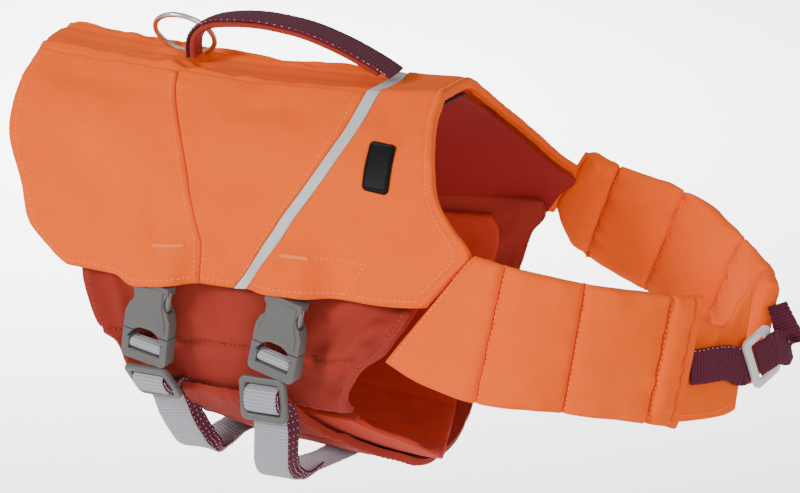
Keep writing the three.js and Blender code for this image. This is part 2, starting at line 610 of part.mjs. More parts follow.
// A belly strap: out through its slider, down in a loop, then under the belly and up the left side.
function bellyStrap(place, sliderSpot, loop, across) {
  const frame = flankFrame(sliderSpot);
  const sliderSide = new THREE.Vector3().setFromMatrixColumn(frame, 0);
  const inSlider = [
    [8.8, -4.4], [7.8, -0.6], [6.2, 3.4], [2, 5], [-3, 5], [-6.8, 3.2], [-8.6, -0.8], [-10, -4.4],
  ];
  const rows = inSlider.map(([up, out]) => {
    const point = new THREE.Vector3(0, up, out).applyMatrix4(frame);
    return { x: point.x, y: point.y, z: point.z, side: sliderSide };
  });
  rows.push(...sided(loop, new THREE.Vector3(1, 0, 0)));
  for (const part of [-0.3, -0.15, 0.1, 0.35, 0.6, 0.8, 0.97, 1.2, 1.5, 1.72]) {
    const point = cradle(across, part);
    const along = cradle(across, part + 0.03).sub(cradle(across, part - 0.03));
    const side = cradle(across + 9, part).sub(cradle(across - 9, part)).normalize();
    const normal = new THREE.Vector3().crossVectors(along, side).normalize();
    point.addScaledVector(normal, normal.dot(point) > normal.z * -140 ? 3.4 : -3.4);
    rows.push({ x: point.x, y: point.y, z: point.z, side });
  }
  const hung = rows.slice(9, 14).map((row) => ({ ...row, x: row.x + 4 }));
  return [
    webbing(`belly_strap_${place}`, cloth.grey, rows, { count: 64 }),
    webbing(`strap_backing_${place}`, cloth.burgundy, hung, { count: 10, thick: 1.2, lift: -2.8 }),
  ];
}

const REAR_BUCKLE = { x: -54, y: -113.1, z: -104.6, lean: rad(8) };
const FRONT_BUCKLE = { x: 38, y: -114.5, z: -102.5, lean: rad(12) };
const REAR_SLIDER = { x: -59, y: -108, z: -174.7, lean: rad(-4), pitch: rad(35) };
const FRONT_SLIDER = { x: 20.5, y: -114, z: -173.7, lean: rad(-3) };
const REAR_LOOP = [
  { x: -56, y: -90, z: -195.5 }, { x: -54, y: -86, z: -207 }, { x: -51, y: -79, z: -220.5 },
  { x: -48, y: -71, z: -232 }, { x: -44, y: -63, z: -236 }, { x: -39, y: -55, z: -233 },
  { x: -33, y: -44, z: -228 },
];
const FRONT_LOOP = [
  { x: 23, y: -109, z: -196 }, { x: 21, y: -105, z: -212 }, { x: 18, y: -97, z: -228 },
  { x: 18, y: -87, z: -238 }, { x: 22, y: -77, z: -240 }, { x: 29, y: -66, z: -237 },
  { x: 37, y: -53, z: -236 },
];

const COLLAR_LINE = [
  { x: 284, y: -64, z: -134 }, { x: 291, y: -57, z: -134.5 }, { x: 298, y: -47.5, z: -135.5 },
  { x: 303, y: -41, z: -137 },
];
const RETURN_LINE = [
  { x: 320, y: 8, z: -113 }, { x: 324.5, y: 5, z: -121 }, { x: 329, y: 3, z: -131 },
  { x: 331, y: 0, z: -138 },
];
// Where the two webbings meet the hook, along it and out of it.
const WEB_AT_HOOK = [{ along: -15, out: -3.3 }, { along: -9, out: -4 }, { along: -3, out: -3.4 }];
const RETURN_AT_HOOK = [
  { along: 12, out: 3.6 }, { along: 6, out: 2.8 }, { along: 1, out: 1.4 }, { along: -4.5, out: 0 },
];

function collarPieces() {
  const upright = new THREE.Vector3(-0.1, 0.12, 1);
  const slant = new THREE.Vector3(0.55, 0.8, 0.3);
  const along = new THREE.Vector3(0.37, 0.88, 0.29).normalize();
  const out = new THREE.Vector3().crossVectors(along, upright).normalize();
  const up = new THREE.Vector3().crossVectors(out, along);
  const hook = new THREE.Matrix4().makeBasis(along, up, out).setPosition(318, -21, -138);
  const atHook = (row) => {
    const point = new THREE.Vector3(row.along, 0, row.out).applyMatrix4(hook);
    return { x: point.x, y: point.y, z: point.z, side: up };
  };
  const lapped = [...sided(COLLAR_LINE, upright), ...WEB_AT_HOOK.map(atHook)];
  const web = webbing("collar_webbing", cloth.burgundy, lapped, {
    count: 14, wide: () => 22, thick: 2,
  });
  const turned = RETURN_LINE.map((row, i) => ({ ...row, side: slant.clone().lerp(up, i / 4) }));
  const doubled = [...turned, ...RETURN_AT_HOOK.map(atHook)];
  const back = webbing("collar_return", cloth.burgundy, doubled, {
    count: 16, wide: (t) => mix(14, 22, ease(clamp(t * 1.8, 0, 1))), thick: 2,
  });
  const eye = boxOutline(15, 12.4, -12.4, 0.5);
  const slide = plate("collar_hook", hard.alloy, boxOutline(26, 17, -17, 2.4), [eye], 2.4, 0.6, hook);
  return [web, slide, back];
}

function neckLoop() {
  const rows = [-23, -12, 0, 12, 23].map((y) => ({
    x: 101, y, z: backHeight(101, y) - FOAM - 4.35, side: new THREE.Vector3(1, 0, 0.1),
  }));
  return webbing("neck_loop", cloth.burgundy, rows, { count: 8, wide: () => 12 });
}

const jacket = new THREE.Group();
jacket.name = "dog_life_jacket";
jacket.add(...backPieces(), label(), ...girdlePieces(), ...armPieces());
jacket.add(...handlePieces(), leadRing());
jacket.add(...buckle("rear", REAR_BUCKLE, REAR_SLIDER), ...buckle("front", FRONT_BUCKLE, FRONT_SLIDER));
jacket.add(...bellyStrap("rear", REAR_SLIDER, REAR_LOOP, -28));
jacket.add(...bellyStrap("front", FRONT_SLIDER, FRONT_LOOP, 43));
jacket.add(...collarPieces(), neckLoop());
export default jacket;
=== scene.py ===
import math

import bpy
import numpy as np
from mathutils import Matrix, Vector, noise


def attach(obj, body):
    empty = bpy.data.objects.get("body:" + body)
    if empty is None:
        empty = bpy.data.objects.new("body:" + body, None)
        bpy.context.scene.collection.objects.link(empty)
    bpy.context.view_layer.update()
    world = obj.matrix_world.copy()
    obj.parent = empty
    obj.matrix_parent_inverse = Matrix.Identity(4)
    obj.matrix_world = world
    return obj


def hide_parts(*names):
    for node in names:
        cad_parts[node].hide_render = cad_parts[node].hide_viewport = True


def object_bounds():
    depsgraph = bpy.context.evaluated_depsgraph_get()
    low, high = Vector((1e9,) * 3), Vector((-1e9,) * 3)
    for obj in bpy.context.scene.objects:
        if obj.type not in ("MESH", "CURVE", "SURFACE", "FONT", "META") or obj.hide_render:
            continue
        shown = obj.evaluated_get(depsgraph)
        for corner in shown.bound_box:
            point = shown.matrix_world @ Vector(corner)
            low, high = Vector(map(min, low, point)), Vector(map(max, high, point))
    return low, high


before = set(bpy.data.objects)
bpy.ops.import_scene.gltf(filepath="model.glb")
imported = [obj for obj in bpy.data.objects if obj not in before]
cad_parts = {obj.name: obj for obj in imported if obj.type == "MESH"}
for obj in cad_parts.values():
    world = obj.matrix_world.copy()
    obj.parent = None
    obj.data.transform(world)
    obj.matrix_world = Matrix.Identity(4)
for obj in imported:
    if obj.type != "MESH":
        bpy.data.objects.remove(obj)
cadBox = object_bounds()
mm = 0.001

bpy.ops.object.select_all(action="DESELECT")


# The camera stands where the jacket is seen from its right side, a little above.
camera = {"place": (0.6954, -1.6731, 0.5296), "turn": (70.5, 0, 20.5),
          "lens": 130.5, "sensor": 36, "reach": 50}


def addCamera():
    bpy.ops.object.camera_add(location=camera["place"], rotation=[math.radians(a) for a in camera["turn"]])
    seen = bpy.context.object
    seen.data.lens = camera["lens"]
    seen.data.sensor_width = camera["sensor"]
    seen.data.clip_end = camera["reach"]
    bpy.context.scene.camera = seen


# Small helpers for shapes given in millimetres.


def mix(a, b, t):
    return a + (b - a) * t


def clamp(value, low=0.0, high=1.0):
    return min(max(value, low), high)


def ease(t):
    t = clamp(t)
    return t * t * (3 - 2 * t)


def read(table, at):
    rows = table if table[0][0] < table[-1][0] else table[::-1]
    last = len(rows) - 1
    held = clamp(at, rows[0][0], rows[last][0])
    i = 0
    while i < last - 1 and rows[i + 1][0] < held:
        i += 1

    def slope(j):
        before, after = rows[max(j - 1, 0)], rows[min(j + 1, last)]
        return (after[1] - before[1]) / (after[0] - before[0])

    span = rows[i + 1][0] - rows[i][0]
    t = (held - rows[i][0]) / span
    t2, t3 = t * t, t * t * t
    start = rows[i][1] * (2 * t3 - 3 * t2 + 1) + slope(i) * span * (t3 - 2 * t2 + t)
    return start + rows[i + 1][1] * (3 * t2 - 2 * t3) + slope(i + 1) * span * (t3 - t2)


def bell(distance, width):
    # a ridge or groove: 1 in its middle, nothing a few widths away
    return math.exp(-((distance / width) ** 2))


def rim(distance, reach, drop):
    # how far a padded edge rolls down, at a distance in from it
    if distance >= reach:
        return 0
    t = 1 - max(distance, 0) / reach
    return -drop * (1 - math.sqrt(max(1 - t * t, 0)))


def waves(point, broad=0.9, small=0.22, size=58):
    p = Vector(point)
    return broad * noise.noise(p / size) + small * noise.noise(p / (size * 0.3) + Vector((7, 3, 1)))


def pucker(distance, along, reach=6, height=0.4, pitch=5.5, seed=0.0):
    if abs(distance) > 3 * reach:
        return 0
    return height * bell(distance, reach) * noise.noise(Vector((along / pitch, seed, 0.5))) * 2


def creases(marks, a, b):
    # soft troughs, or ridges where deep is under nothing, each between two points of the flat cloth
    total = 0
    for mark in marks:
        (ax, ay), (bx, by) = mark["from"], mark["to"]
        dx, dy = bx - ax, by - ay
        length = math.hypot(dx, dy)
        t = ((a - ax) * dx + (b - ay) * dy) / (length * length)
        if t < -0.4 or t > 1.4:
            continue
        wander = 0.12 * mark["wide"] * noise.noise(Vector((t * 4, ax * 0.1, ay * 0.1))) * 4
        off = ((a - ax) * dy - (b - ay) * dx) / length + wander
        if abs(off) > 3 * mark["wide"]:
            continue
        taper = ease((t + 0.25) / 0.45) * ease((1.25 - t) / 0.45)
        total -= mark["deep"] * taper * bell(off, mark["wide"])
    return total


# Materials


def newMaterial(name, roughness, **sockets):
    made = bpy.data.materials.new(name)
    made.use_nodes = True
    shader = made.node_tree.nodes["Principled BSDF"]
    shader.inputs["Roughness"].default_value = roughness
    for socket, value in sockets.items():
        shader.inputs[socket.replace("_", " ")].default_value = value
    return made, made.node_tree, shader


def addNode(tree, kind, feed=None, **settings):
    node = tree.nodes.new(kind)
    if feed:
        tree.links.new(feed, node.inputs["Vector"])
    for key, value in settings.items():
        if key in node.inputs:
            node.inputs[key].default_value = value
        else:
            setattr(node, key, value)
    return node


def mixColours(tree, factor, first, second):
    node = tree.nodes.new("ShaderNodeMix")
    node.data_type = "RGBA"
    for socket, value in ((node.inputs[0], factor), (node.inputs[6], first), (node.inputs[7], second)):
        if isinstance(value, bpy.types.NodeSocket):
            tree.links.new(value, socket)
        else:
            socket.default_value = value
    return node.outputs[2]


def raiseSurface(tree, shader, height, strength, distance):
    bump = addNode(tree, "ShaderNodeBump", Strength=strength, Distance=distance)
    tree.links.new(height, bump.inputs["Height"])
    tree.links.new(bump.outputs["Normal"], shader.inputs["Normal"])


def rgba(colour):
    return (*colour, 1)


def math2(tree, operation, a, b):
    node = tree.nodes.new("ShaderNodeMath")
    node.operation = operation
    for socket, value in zip(node.inputs, (a, b)):
        if isinstance(value, bpy.types.NodeSocket):
            tree.links.new(value, socket)
        else:
            socket.default_value = value
    return node.outputs[0]


def bandScale(pitch):
    return 2 * math.pi / (20 * pitch * mm)


def shellMaterial(name, look):
    # plain woven nylon: fine warp and weft, soft wear in tone and a little sheen
    made, tree, shader = newMaterial(
        name, look["rough"], Sheen_Weight=look["sheen"], Sheen_Roughness=0.45, Specular_IOR_Level=0.15
    )
    spot = tree.nodes.new("ShaderNodeTexCoord").outputs
    scale = bandScale(look["weave"])
    warp = addNode(tree, "ShaderNodeTexWave", spot["UV"], Scale=scale, Distortion=0.3)
    weft = addNode(tree, "ShaderNodeTexWave", spot["UV"], Scale=scale, Distortion=0.3, bands_direction="Y")
    weave = math2(tree, "ADD", warp.outputs["Fac"], weft.outputs["Fac"])
    broad = addNode(tree, "ShaderNodeTexNoise", spot["Object"], Scale=16.0, Detail=3.0, Roughness=0.55)
    fine = addNode(tree, "ShaderNodeTexNoise", spot["Object"], Scale=420.0, Detail=2.0)
    tone = math2(tree, "MULTIPLY", math2(tree, "SUBTRACT", broad.outputs["Fac"], 0.3), 1.2)
    colour = mixColours(tree, tone, rgba(look["colour"]), rgba(look["shade"]))
    grain = math2(tree, "MULTIPLY", fine.outputs["Fac"], 0.22)
    colour = mixColours(tree, grain, colour, rgba([c * 0.6 for c in look["shade"]]))
    tree.links.new(colour, shader.inputs["Base Color"])
    height = math2(tree, "ADD", math2(tree, "MULTIPLY", weave, 0.5), fine.outputs["Fac"])
    raiseSurface(tree, shader, height, 0.22, 0.0004)
    return made


def webbingMaterial(name, look):
    # ribs across the strap, a finer thread along it, and painted shade darkening the furrows between the
    # ribs
    made, tree, shader = newMaterial(
        name, look["rough"], Sheen_Weight=look["sheen"], Sheen_Roughness=0.4, Specular_IOR_Level=0.25
    )
    spot = tree.nodes.new("ShaderNodeTexCoord").outputs
    ribs = addNode(tree, "ShaderNodeTexWave", spot["UV"], Scale=bandScale(look["rib"]), Distortion=0.6,
                   bands_direction="Y")
    threads = addNode(tree, "ShaderNodeTexWave", spot["UV"], Scale=bandScale(look["thread"]), Distortion=0.4)
    fuzz = addNode(tree, "ShaderNodeTexNoise", spot["Object"], Scale=700.0, Detail=2.0)
    height = math2(tree, "ADD", ribs.outputs["Fac"], math2(tree, "MULTIPLY", threads.outputs["Fac"], 0.45))
    # painted shade: the colour is pulled towards the shade colour where the furrows between ribs lie low
    paintedFurrowShade = math2(tree, "MULTIPLY", math2(tree, "SUBTRACT", 1.45, height), look["paintedFurrowShade"])
    colour = mixColours(tree, paintedFurrowShade, rgba(look["colour"]), rgba(look["shade"]))
    colour = mixColours(tree, math2(tree, "MULTIPLY", fuzz.outputs["Fac"], 0.3), colour, rgba(look["shade"]))
    tree.links.new(colour, shader.inputs["Base Color"])
    raiseSurface(tree, shader, height, 0.8, 0.0006)
    return made


def plainMaterial(name, look):
    # moulded, cast or drawn surfaces: a fine grain and rubbed, paler patches
    made, tree, shader = newMaterial(
        name, look["rough"], Metallic=look.get("metal", 0.0), Specular_IOR_Level=look.get("gloss", 0.5)
    )
    spot = tree.nodes.new("ShaderNodeTexCoord").outputs
    grain = addNode(tree, "ShaderNodeTexNoise", spot["Object"], Scale=look["grain"], Detail=4.0)
    patches = addNode(tree, "ShaderNodeTexNoise", spot["Object"], Scale=look["patch"], Detail=2.0)
    colour = mixColours(tree, patches.outputs["Fac"], rgba(look["colour"]), rgba(look["shade"]))
    tree.links.new(colour, shader.inputs["Base Color"])
    dull = math2(tree, "ADD", math2(tree, "MULTIPLY", grain.outputs["Fac"], 0.16), look["rough"] - 0.08)
    tree.links.new(dull, shader.inputs["Roughness"])
    raiseSurface(tree, shader, grain.outputs["Fac"], look["bump"], 0.0002)
    return made


nylon = {"rough": 0.85, "sheen": 0.03, "weave": 0.62}
soft = {"rough": 0.8, "sheen": 0.03, "weave": 0.8}
yarn = {"rough": 0.6, "grain": 900, "patch": 300, "bump": 0.2}
looks = {
    "orange": {**nylon, "colour": (0.96, 0.122, 0.003), "shade": (0.84, 0.092, 0.001), "sheen": 0.02},
    "rust": {**nylon, "colour": (0.33, 0.034, 0.022), "shade": (0.25, 0.023, 0.015)},
    "lining": {**soft, "colour": (0.30, 0.016, 0.014), "shade": (0.21, 0.009, 0.009)},
    # the belly pad is the same red lining cloth as the body lining, its colour painted lighter for the light
    # that falls on it
    "pad": {**soft, "colour": (0.52, 0.045, 0.022), "shade": (0.40, 0.028, 0.014)},
    "thread": {**yarn, "colour": (1.0, 0.235, 0.045), "shade": (0.9, 0.18, 0.03)},
    "redThread": {**yarn, "colour": (0.40, 0.05, 0.03), "shade": (0.3, 0.03, 0.02)},
    "flecks": {**yarn, "colour": (0.55, 0.42, 0.46), "shade": (0.4, 0.28, 0.32)},
    # for the webbings, the last value sets how much painted shade darkens the furrows between ribs
    "burgundy": {"colour": (0.15, 0.018, 0.045), "shade": (0.065, 0.007, 0.018),
                 "rough": 0.85, "sheen": 0.04, "rib": 2.1, "thread": 1.2, "paintedFurrowShade": 0.75},
    "grey": {"colour": (0.50, 0.48, 0.53), "shade": (0.20, 0.19, 0.22), "rough": 0.7, "sheen": 0.2,
             "rib": 2.3, "thread": 1.1, "paintedFurrowShade": 0.45},
    "plastic": {"colour": (0.115, 0.112, 0.106), "shade": (0.092, 0.090, 0.086),
                "rough": 0.45, "grain": 1400, "patch": 60, "bump": 0.25, "gloss": 0.45},
    "prong": {"colour": (0.27, 0.275, 0.265), "shade": (0.22, 0.225, 0.215),
              "rough": 0.4, "grain": 1400, "patch": 60, "bump": 0.25, "gloss": 0.45},
    "steel": {"colour": (0.78, 0.76, 0.73), "shade": (0.64, 0.62, 0.59), "rough": 0.34, "metal": 1.0,
              "grain": 500, "patch": 90, "bump": 0.15},
    "alloy": {"colour": (0.78, 0.78, 0.77), "shade": (0.68, 0.68, 0.67), "rough": 0.45, "metal": 0.25,
              "grain": 700, "patch": 80, "bump": 0.3},
    "label": {"colour": (0.0015, 0.0015, 0.0015), "shade": (0.002, 0.002, 0.002),
              "rough": 0.6, "grain": 900, "patch": 80, "bump": 0.3, "gloss": 0.2},
    "tape": {"colour": (0.46, 0.46, 0.47), "shade": (0.54, 0.54, 0.55), "rough": 0.5, "grain": 2200,
             "patch": 50, "bump": 0.3, "gloss": 0.6},
}

orangeCloth = shellMaterial("orangeCloth", looks["orange"])
rustCloth = shellMaterial("rustCloth", looks["rust"])
liningCloth = shellMaterial("liningCloth", looks["lining"])
padLiningPaintedLight = shellMaterial("padLiningPaintedLight", looks["pad"])
burgundyWebbing = webbingMaterial("burgundyWebbing", looks["burgundy"])
greyWebbing = webbingMaterial("greyWebbing", looks["grey"])
orangeThread = plainMaterial("orangeThread", looks["thread"])
redThread = plainMaterial("redThread", looks["redThread"])
paleFlecks = plainMaterial("paleFlecks", looks["flecks"])
buckleGrey = plainMaterial("buckleGrey", looks["plastic"])
prongGrey = plainMaterial("prongGrey", looks["prong"])
ringSteel = plainMaterial("ringSteel", looks["steel"])
hookAlloy = plainMaterial("hookAlloy", looks["alloy"])
labelRubber = plainMaterial("labelRubber", looks["label"])
silverTape = plainMaterial("silverTape", looks["tape"])
print("materials made")


# Cloth pieces: a grid laid on its surface, shaped, then given its thickness.

cloths = {}
clothGrid = {"measured": 13, "leastWall": 1.2, "smooth": 48, "seamClear": 3.1,
             "seamLines": (-2.4, -1.4, -0.7, 0, 0.7, 1.4, 2.4)}


def spacing(count, pull, size, lines):
    # how far along each line of the grid lies: closer at both ends and beside each sewn line
    t = np.linspace(0, 1, count + 1)
    spread = t - pull * np.sin(2 * math.pi * t) / (2 * math.pi)
    for line in lines:
        clear = np.abs(spread - line) * size > clothGrid["seamClear"]
        spread = spread[clear | (spread <= 0) | (spread >= 1)]
        spread = np.append(spread, [line + k / size for k in clothGrid["seamLines"]])
    return np.sort(spread)


def lengthsAlong(points, axis):
    steps = np.linalg.norm(np.diff(points, axis=axis), axis=2)
    return float(steps.sum(axis=axis).max())


def finishPiece(piece, name, material, slot, body, *replaced):
    piece.name = name
    piece.data.name = name
    piece.data.materials.clear()
    piece.data.materials.append(material)
    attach(piece, body)
    if replaced:
        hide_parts(*replaced)


def clothPiece(name, place, relief, wall, heart, cell=2.0, pull=0.72, inner=None, acrossLines=(),
               alongLines=()):
    # place gives a point for u and v, relief how far it stands out and wall its thickness, all in mm;
    # inner, where given, is how far in its other face lies
    shares = np.linspace(0, 1, clothGrid["measured"])
    coarse = np.array([[place(u, v) for u in shares] for v in shares])
    wide, long = lengthsAlong(coarse, 1), lengthsAlong(coarse, 0)
    us = spacing(max(int(wide / cell), 6), pull, wide, acrossLines)
    vs = spacing(max(int(long / cell), 6), pull, long, alongLines)
    columns, rows = len(us) - 1, len(vs) - 1
    points = np.array([[place(u, v) for u in us] for v in vs], float)
    along, down = np.gradient(points, axis=1), np.gradient(points, axis=0)
    normals = np.cross(along, down)
    normals /= np.maximum(np.linalg.norm(normals, axis=2, keepdims=True), 1e-9)
    centre = np.array(heart, float)
    outward = float(np.sum(normals * (points - centre))) > 0
    if not outward:
        normals = -normals
    lifts = np.array([
        [relief(u, v, u * wide, v * long, wide, long, points[j, i]) for i, u in enumerate(us)]
        for j, v in enumerate(vs)
    ])
    if inner:
        walls = lifts + np.array([[inner(u, v, u * wide, v * long, wide, long) for u in us] for v in vs])
        walls = np.maximum(walls, clothGrid["leastWall"])
    else:
        walls = np.array([[wall(u, v, wide, long) for u in us] for v in vs])
    shaped = (points + normals * lifts[:, :, None]) * mm
    bpy.ops.mesh.primitive_grid_add(x_subdivisions=columns, y_subdivisions=rows, size=1, calc_uvs=True)
    piece = bpy.context.object
    data = piece.data
    flat = np.empty(len(data.vertices) * 3)
    data.vertices.foreach_get("co", flat)
    flat = flat.reshape(-1, 3)
    i = np.rint((flat[:, 0] + 0.5) * columns).astype(int)
    j = np.rint((flat[:, 1] + 0.5) * rows).astype(int)
    data.vertices.foreach_set("co", shaped[j, i].ravel())
    loops = np.empty(len(data.loops), int)
    data.loops.foreach_get("vertex_index", loops)
    uv = np.stack([us[i[loops]] * wide, vs[j[loops]] * long], axis=1) * mm
    data.uv_layers.active.data.foreach_set("uv", uv.ravel())
    if not outward:
        data.flip_normals()
    data.update()
    thickest = float(walls.max())
    group = piece.vertex_groups.new(name="padding")
    for index, weight in enumerate(walls[j, i] / thickest):
        group.add([index], float(weight), "REPLACE")
    solid = piece.modifiers.new("wall", "SOLIDIFY")
    solid.thickness = thickest * mm
    solid.offset = -1
    solid.vertex_group = "padding"
    bpy.ops.object.modifier_apply(modifier="wall")
    piece.vertex_groups.clear()
    # the new inner face is set straight in from the outer one, so that deep seams don't fold it
    inside = shaped - normals * walls[:, :, None] * mm
    corners = np.empty(len(data.vertices) * 3)
    data.vertices.foreach_get("co", corners)
    corners = corners.reshape(-1, 3)
    corners[len(i):] = inside[j, i]
    data.vertices.foreach_set("co", corners.ravel())
    data.update()
    bpy.ops.object.shade_smooth_by_angle(angle=math.radians(clothGrid["smooth"]))
    cloths[name] = {"us": us, "vs": vs, "points": shaped, "normals": normals, "size": (wide, long)}
    cloths[name + "_inside"] = {**cloths[name], "points": inside, "normals": -normals}
    bpy.ops.object.select_all(action="DESELECT")
    return piece


def finishPad(piece, name, material, slot):
    finishPiece(piece, name + "_cloth", material, slot, "jacket", name)


def onCloth(name, u, v):
    # a point on the outside of a cloth piece, and the way out of it
    cloth = cloths[name]
    i = float(np.interp(u, cloth["us"], np.arange(len(cloth["us"]))))
    j = float(np.interp(v, cloth["vs"], np.arange(len(cloth["vs"]))))
    i0, j0 = min(int(i), len(cloth["us"]) - 2), min(int(j), len(cloth["vs"]) - 2)
    a, b = i - i0, j - j0
    found = []
    for key in ("points", "normals"):
        grid = cloth[key]
        found.append(
            grid[j0, i0] * (1 - a) * (1 - b) + grid[j0, i0 + 1] * a * (1 - b)
            + grid[j0 + 1, i0] * (1 - a) * b + grid[j0 + 1, i0 + 1] * a * b
        )
    return Vector(found[0]), Vector(found[1]).normalized()


stitch = {"pitch": 3.5, "length": 2.3, "radius": 0.52, "sides": 6, "rings": 4, "measured": 24}


def stitchShape():
    # one thread stitch, lying along x, made once and copied
    bpy.ops.mesh.primitive_uv_sphere_add(segments=stitch["sides"], ring_count=stitch["rings"], radius=1)
    made = bpy.context.object
    bpy.ops.object.mode_set(mode="EDIT")
    bpy.ops.mesh.select_all(action="SELECT")
    bpy.ops.transform.rotate(value=math.pi / 2, orient_axis="Y", center_override=(0, 0, 0))
    bpy.ops.object.mode_set(mode="OBJECT")
    points = np.array([v.co for v in made.data.vertices])
    faces = [tuple(p.vertices) for p in made.data.polygons]
    bpy.data.objects.remove(made)
    return points, faces


stitchPoints, stitchFaces = stitchShape()


def sewRow(cloth, marks, pitch=None):
    # stitches evenly along a line of (u, v) marks on a cloth piece
    pitch = pitch or stitch["pitch"]
    fine = []
    for (u0, v0), (u1, v1) in zip(marks, marks[1:]):
        for t in (k / stitch["measured"] for k in range(stitch["measured"])):
            fine.append(onCloth(cloth, mix(u0, u1, t), mix(v0, v1, t)))
    fine.append(onCloth(cloth, *marks[-1]))
    spots, walked, due = [], 0.0, pitch / 2
    for (p, n), (q, _) in zip(fine, fine[1:]):
        step = (q - p).length / mm
        while step > 0 and due <= walked + step:
            spots.append((p.lerp(q, (due - walked) / step), n, (q - p).normalized()))
            due += pitch
        walked += step
    return spots


def sewPiece(name, spots, material, slot, length=None, radius=None, sink=0.1):
    # all the stitches of one kind as one mesh
    length, radius = length or stitch["length"], radius or stitch["radius"]
    vertices, faces = [], []
    for place, out, along in spots:
        side = out.cross(along).normalized()
        rise = along.cross(side)
        base = len(vertices)
        for x, y, z in stitchPoints:
            offset = along * (x * length / 2) + side * (y * radius) + rise * (z * radius + radius * sink)
            vertices.append(place + offset * mm)
        faces.extend(tuple(base + k for k in face) for face in stitchFaces)
    data = bpy.data.meshes.new(name)
    data.from_pydata(vertices, [], faces)
    piece = bpy.data.objects.new(name, data)
    bpy.context.scene.collection.objects.link(piece)
    data.shade_smooth()
    finishPiece(piece, name, material, slot, "jacket")


# The jacket's own cut, in mm: x to the head, y to the left, z up.

seamGap = 0.3
bandHalf = 26
stripeHalf = 4.1
sideRadius = 184.5
shoulderTilt = 0.558
backTop = 8
hemZ, flankFoot, edgeZ, leftFoot = -96, -187, -180, -179
chestHeart = (190, 0, -115)
trunkHeart = (0, 0, -110)
bellyHeart, padHeart = (30, 0, -150), (30, 0, -130)

rearEdge = [(0, -178), (26, -175), (53, -178), (79, -177), (96, -173), (124, -158), (146, -150),
            (160, -133), (172, -113)]
sideSeam = [(26, -74), (43, -70), (79, -54), (108, -42), (129, -33), (142, -27), (168, -25)]
stripeLine = [(0, 64), (14, 63), (58, 56), (90, 44), (118, 30), (145, 17), (168, 2.6)]
rightNeck = [(0, 108), (29, 108.8), (48, 110), (80, 118), (100, 125), (116, 137), (138, 155),
             (150, 145), (169, 128.5)]
leftNeck = [(0, 108), (29, 110), (48, 114), (80, 125), (100, 136), (120, 150), (135, 163),
            (150, 151), (169, 139)]
hemLine = [(-113, 172), (-70, 172), (-40, 168.5), (0, 168), (20, 165), (43, 165), (65, 167.6),
           (100, 168.8), (128, 168.8)]
cradleAcross = [(0, 0), (0.25, 0.25), (0.45, 0.45), (0.6, 0.58), (0.75, 0.72), (0.9, 0.87), (1, 1)]
cradleDrop = [(0, 1), (0.25, 0.995), (0.45, 0.93), (0.6, 0.8), (0.75, 0.6), (0.9, 0.3), (1, 0)]
cradleDepth = [(-60, 36), (-45, 40), (-25, 45), (0, 50), (50, 55), (100, 60), (125, 60)]
leftWall = [(-180, 101), (-160, 103), (-130, 103), (-96, 97.6)]
rightWall = [(-187, 87.5), (-178, 92.5), (-165, 98), (-148, 102), (-120, 101.4), (-96, 95.6)]
flankRear = [(-187, -78), (-174, -84), (-153, -89), (-149, -97), (-116, -111), (-96, -114)]
rightFlankFront = [(-187, 70), (-178, 68), (-166, 73), (-150, 83), (-138, 95), (-133, 101),
                   (-115, 113), (-96, 122)]
leftFlankFront = [(-180, 111), (-168, 114), (-139, 121), (-120, 127), (-108, 136), (-96, 134)]
panelFront = [(-1, 30), (-0.85, 42), (-0.66, 66), (-0.5, 92), (-0.42, 100), (-0.2, 105), (0, 107),
              (0.7, 103), (1, 111)]
padFront = [(-0.88, 66), (-0.82, 82), (-0.74, 104), (-0.6, 116), (-0.3, 112), (0, 104), (0.6, 92),
            (1, 96), (1.3, 100), (1.62, 104), (1.8, 92)]
flatHem = 168  # the girth at which the side pieces are laid out


def backHeight(x, s):
    left = clamp((s + bandHalf) / (2 * bandHalf))
    if x < 10:
        return backTop + mix(8, 11, left) * ((x - 10) / 185) ** 2
    return backTop + mix(6, 0, left) * ((x - 10) / 98) ** 2


def flankWidth(x):
    return 1 - 0.07 * clamp((60 - x) / 235) ** 2 + 0.146 * ease((x - 50) / 80)


def saddle(x, s):
    beyond = abs(s) - bandHalf
    if beyond <= 0:
        return (x, s, backHeight(x, s))
    turn = shoulderTilt + beyond / sideRadius
    across = sideRadius * (math.sin(turn) - math.sin(shoulderTilt)) * flankWidth(x)
    drop = sideRadius * (math.cos(shoulderTilt) - math.cos(turn))
    return (x, math.copysign(bandHalf + across, s), backHeight(x, s) - drop)


def cradle(x, part):
    size = abs(part)
    flare = 11 * ease((x - 40) / 90)
    if size > 1:
        z = edgeZ + (size - 1) * 100
        return (x, read(leftWall, z) + flare * clamp(size - 1), z)
    across = 101 * read(cradleAcross, size)
    return (x, math.copysign(across, part), edgeZ - read(cradleDepth, x) * read(cradleDrop, size))


def rightFlank(x, z):
    tucked = 1 - 0.6 * ease((z + 116) / 16)
    flare = 18 * ease((x - 45) / 75) * clamp((z + 190) / 50) * tucked
    return (x, -read(rightWall, z) - flare, z)


def stripeX(s):
    return read(stripeLine, abs(s))


def neckX(s):
    return read(rightNeck if s < 0 else leftNeck, abs(s))


def edges(u, v, wide, long):
    return u * wide, (1 - u) * wide, v * long, (1 - v) * long


def padWall(thin, thick, reach=7):
    # thickness of a padded piece, thin on its rim
    def wall(u, v, wide, long):
        inside = min(edges(u, v, wide, long))
        return mix(thin, thick, math.sqrt(max(0, 1 - (1 - clamp(inside / reach)) ** 2)))
    return wall


# Back panels

